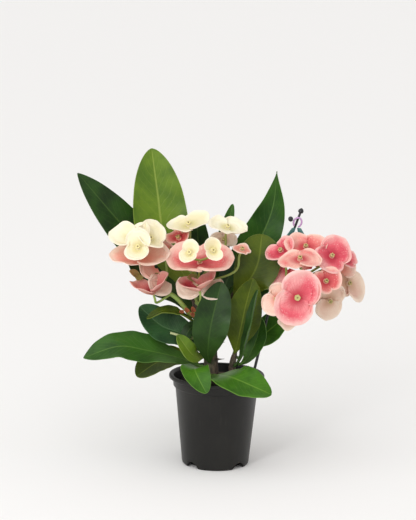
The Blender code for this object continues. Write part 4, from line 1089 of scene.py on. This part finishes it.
rod_black = plastic("rod_black_plastic", "#15171A", 0.36)
ROD_RADIUS = 1.55
ROD_TAPER = 0.27
ROD_FOOT = (37.5, 3)
rod_path = [(*ROD_FOOT, 90), (46, 6, 128), (54, 11, 163), (63, 16, 202), (75, 17, 240), (85, 15, 270)]
rod_end = Vector(rod_path[-1])
rod_way = tangent(rod_path, 1.0)
line = [Vector((*ROD_FOOT, z)) for z in (60, 63, 82)] + evenly(rod_path, 60)[1:]
radii = [0.5, ROD_RADIUS, ROD_RADIUS] + [ROD_RADIUS - ROD_TAPER * i / 60 for i in range(1, 61)]
# height over the rod's end, radius
cap = [(0.0, 1.25), (0.6, 1.3), (1.1, 2.4), (1.7, 2.85), (2.6, 2.95), (3.6, 2.75), (4.6, 2.2), (5.4, 1.5),
       (6.1, 0.5)]
line += [rod_end + rod_way * (0.4 + h) for h, _ in cap]
radii += [r for _, r in cap]
rod = bar("support_rod", line, radii, 24, rod_black)
outward(rod)
smooth(rod, 50)
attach(rod, "root")
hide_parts("stake")


# Clip on the rod.
# A small plant clip of three moulded plastic parts: a lilac spring loop, a black hinge pin, two teal jaws.
# The jaws hang down from the hinge and spread round the flower stalk.
GRIP_SHARE = 0.955
FORWARD = 4.0
LOOP_WIDTH = 4.2
LOOP_HEIGHT = 5.2
PIN_ASIDE = 7.6
JAW_TOP = 7.9
JAW_LENGTH = 13.0
JAW_HALF = 0.6
grip = spline(rod_path, GRIP_SHARE) + Vector((0, -FORWARD, 0))
rod_way = tangent(rod_path, GRIP_SHARE)
side = rod_way.cross(Vector((0, 1, 0))).normalized()
loop = []
for k in range(41):
    a = math.radians(-60 + 300 * k / 40)
    loop.append(grip + side * (LOOP_WIDTH * math.cos(a) - 0.5) + rod_way * (LOOP_HEIGHT * math.sin(a) - 2.0))
lilac = plastic("lilac_plastic", "#B48CB8", 0.33)
clip_loop = bar("clip_spring_loop", loop, [0.7] + [1.0] * 39 + [0.7], 14, lilac)
outward(clip_loop)
smooth(clip_loop, 60)
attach(clip_loop, "root")
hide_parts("clip_loop")

pin = grip + side * PIN_ASIDE - rod_way
# distance along the pin, radius
pin_shape = [(-2.6, 1.2), (-2.5, 1.8), (-1.8, 2.5), (-0.6, 2.65), (2.2, 2.6), (2.9, 2.2), (3.2, 1.4)]
clip_pin = bar("clip_hinge_pin", [pin + Vector((0, y, 0)) for y, _ in pin_shape],
               [r for _, r in pin_shape], 22, rod_black)
outward(clip_pin)
smooth(clip_pin, 40)
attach(clip_pin, "root")
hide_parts("clip_hinge")

teal = plastic("teal_plastic", "#3E6B68", 0.42)
# share of the jaw's length, half of its width
JAW_SECTIONS = ((0.0, 2.2), (0.45, 3.4), (0.8, 4.2), (1.0, 3.4))
for name, lean, reach in (("left", -7.0, -3.9), ("right", 5.5, 1.4)):
    out = Vector((0.9, -0.4 if lean > 0 else 0.4, 0.0)).normalized()
    flat = Vector((0, 0, 1)).cross(out)
    verts, faces = [], []
    for f, half in JAW_SECTIONS:
        middle = grip + Vector((reach + lean * f, -1.5 * f, -JAW_TOP - JAW_LENGTH * f))
        for u, v in ((-half, -JAW_HALF), (half, -JAW_HALF), (half, JAW_HALF), (-half, JAW_HALF)):
            verts.append(middle + out * u + flat * v)
    for low in (0, 4, 8):
        for k in range(4):
            n = (k + 1) % 4
            faces.append((low + k, low + n, low + 4 + n, low + 4 + k))
    faces += [(3, 2, 1, 0), (12, 13, 14, 15)]
    jaw = from_lists("clip_" + name + "_jaw", verts, faces, teal)
    outward(jaw)
    apply_modifier(jaw, "BEVEL", width=0.45 * MM, segments=3, limit_method="ANGLE",
                   angle_limit=math.radians(40))
    smooth(jaw, 40)
    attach(jaw, "root")
    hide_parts("clip_jaw_" + name)
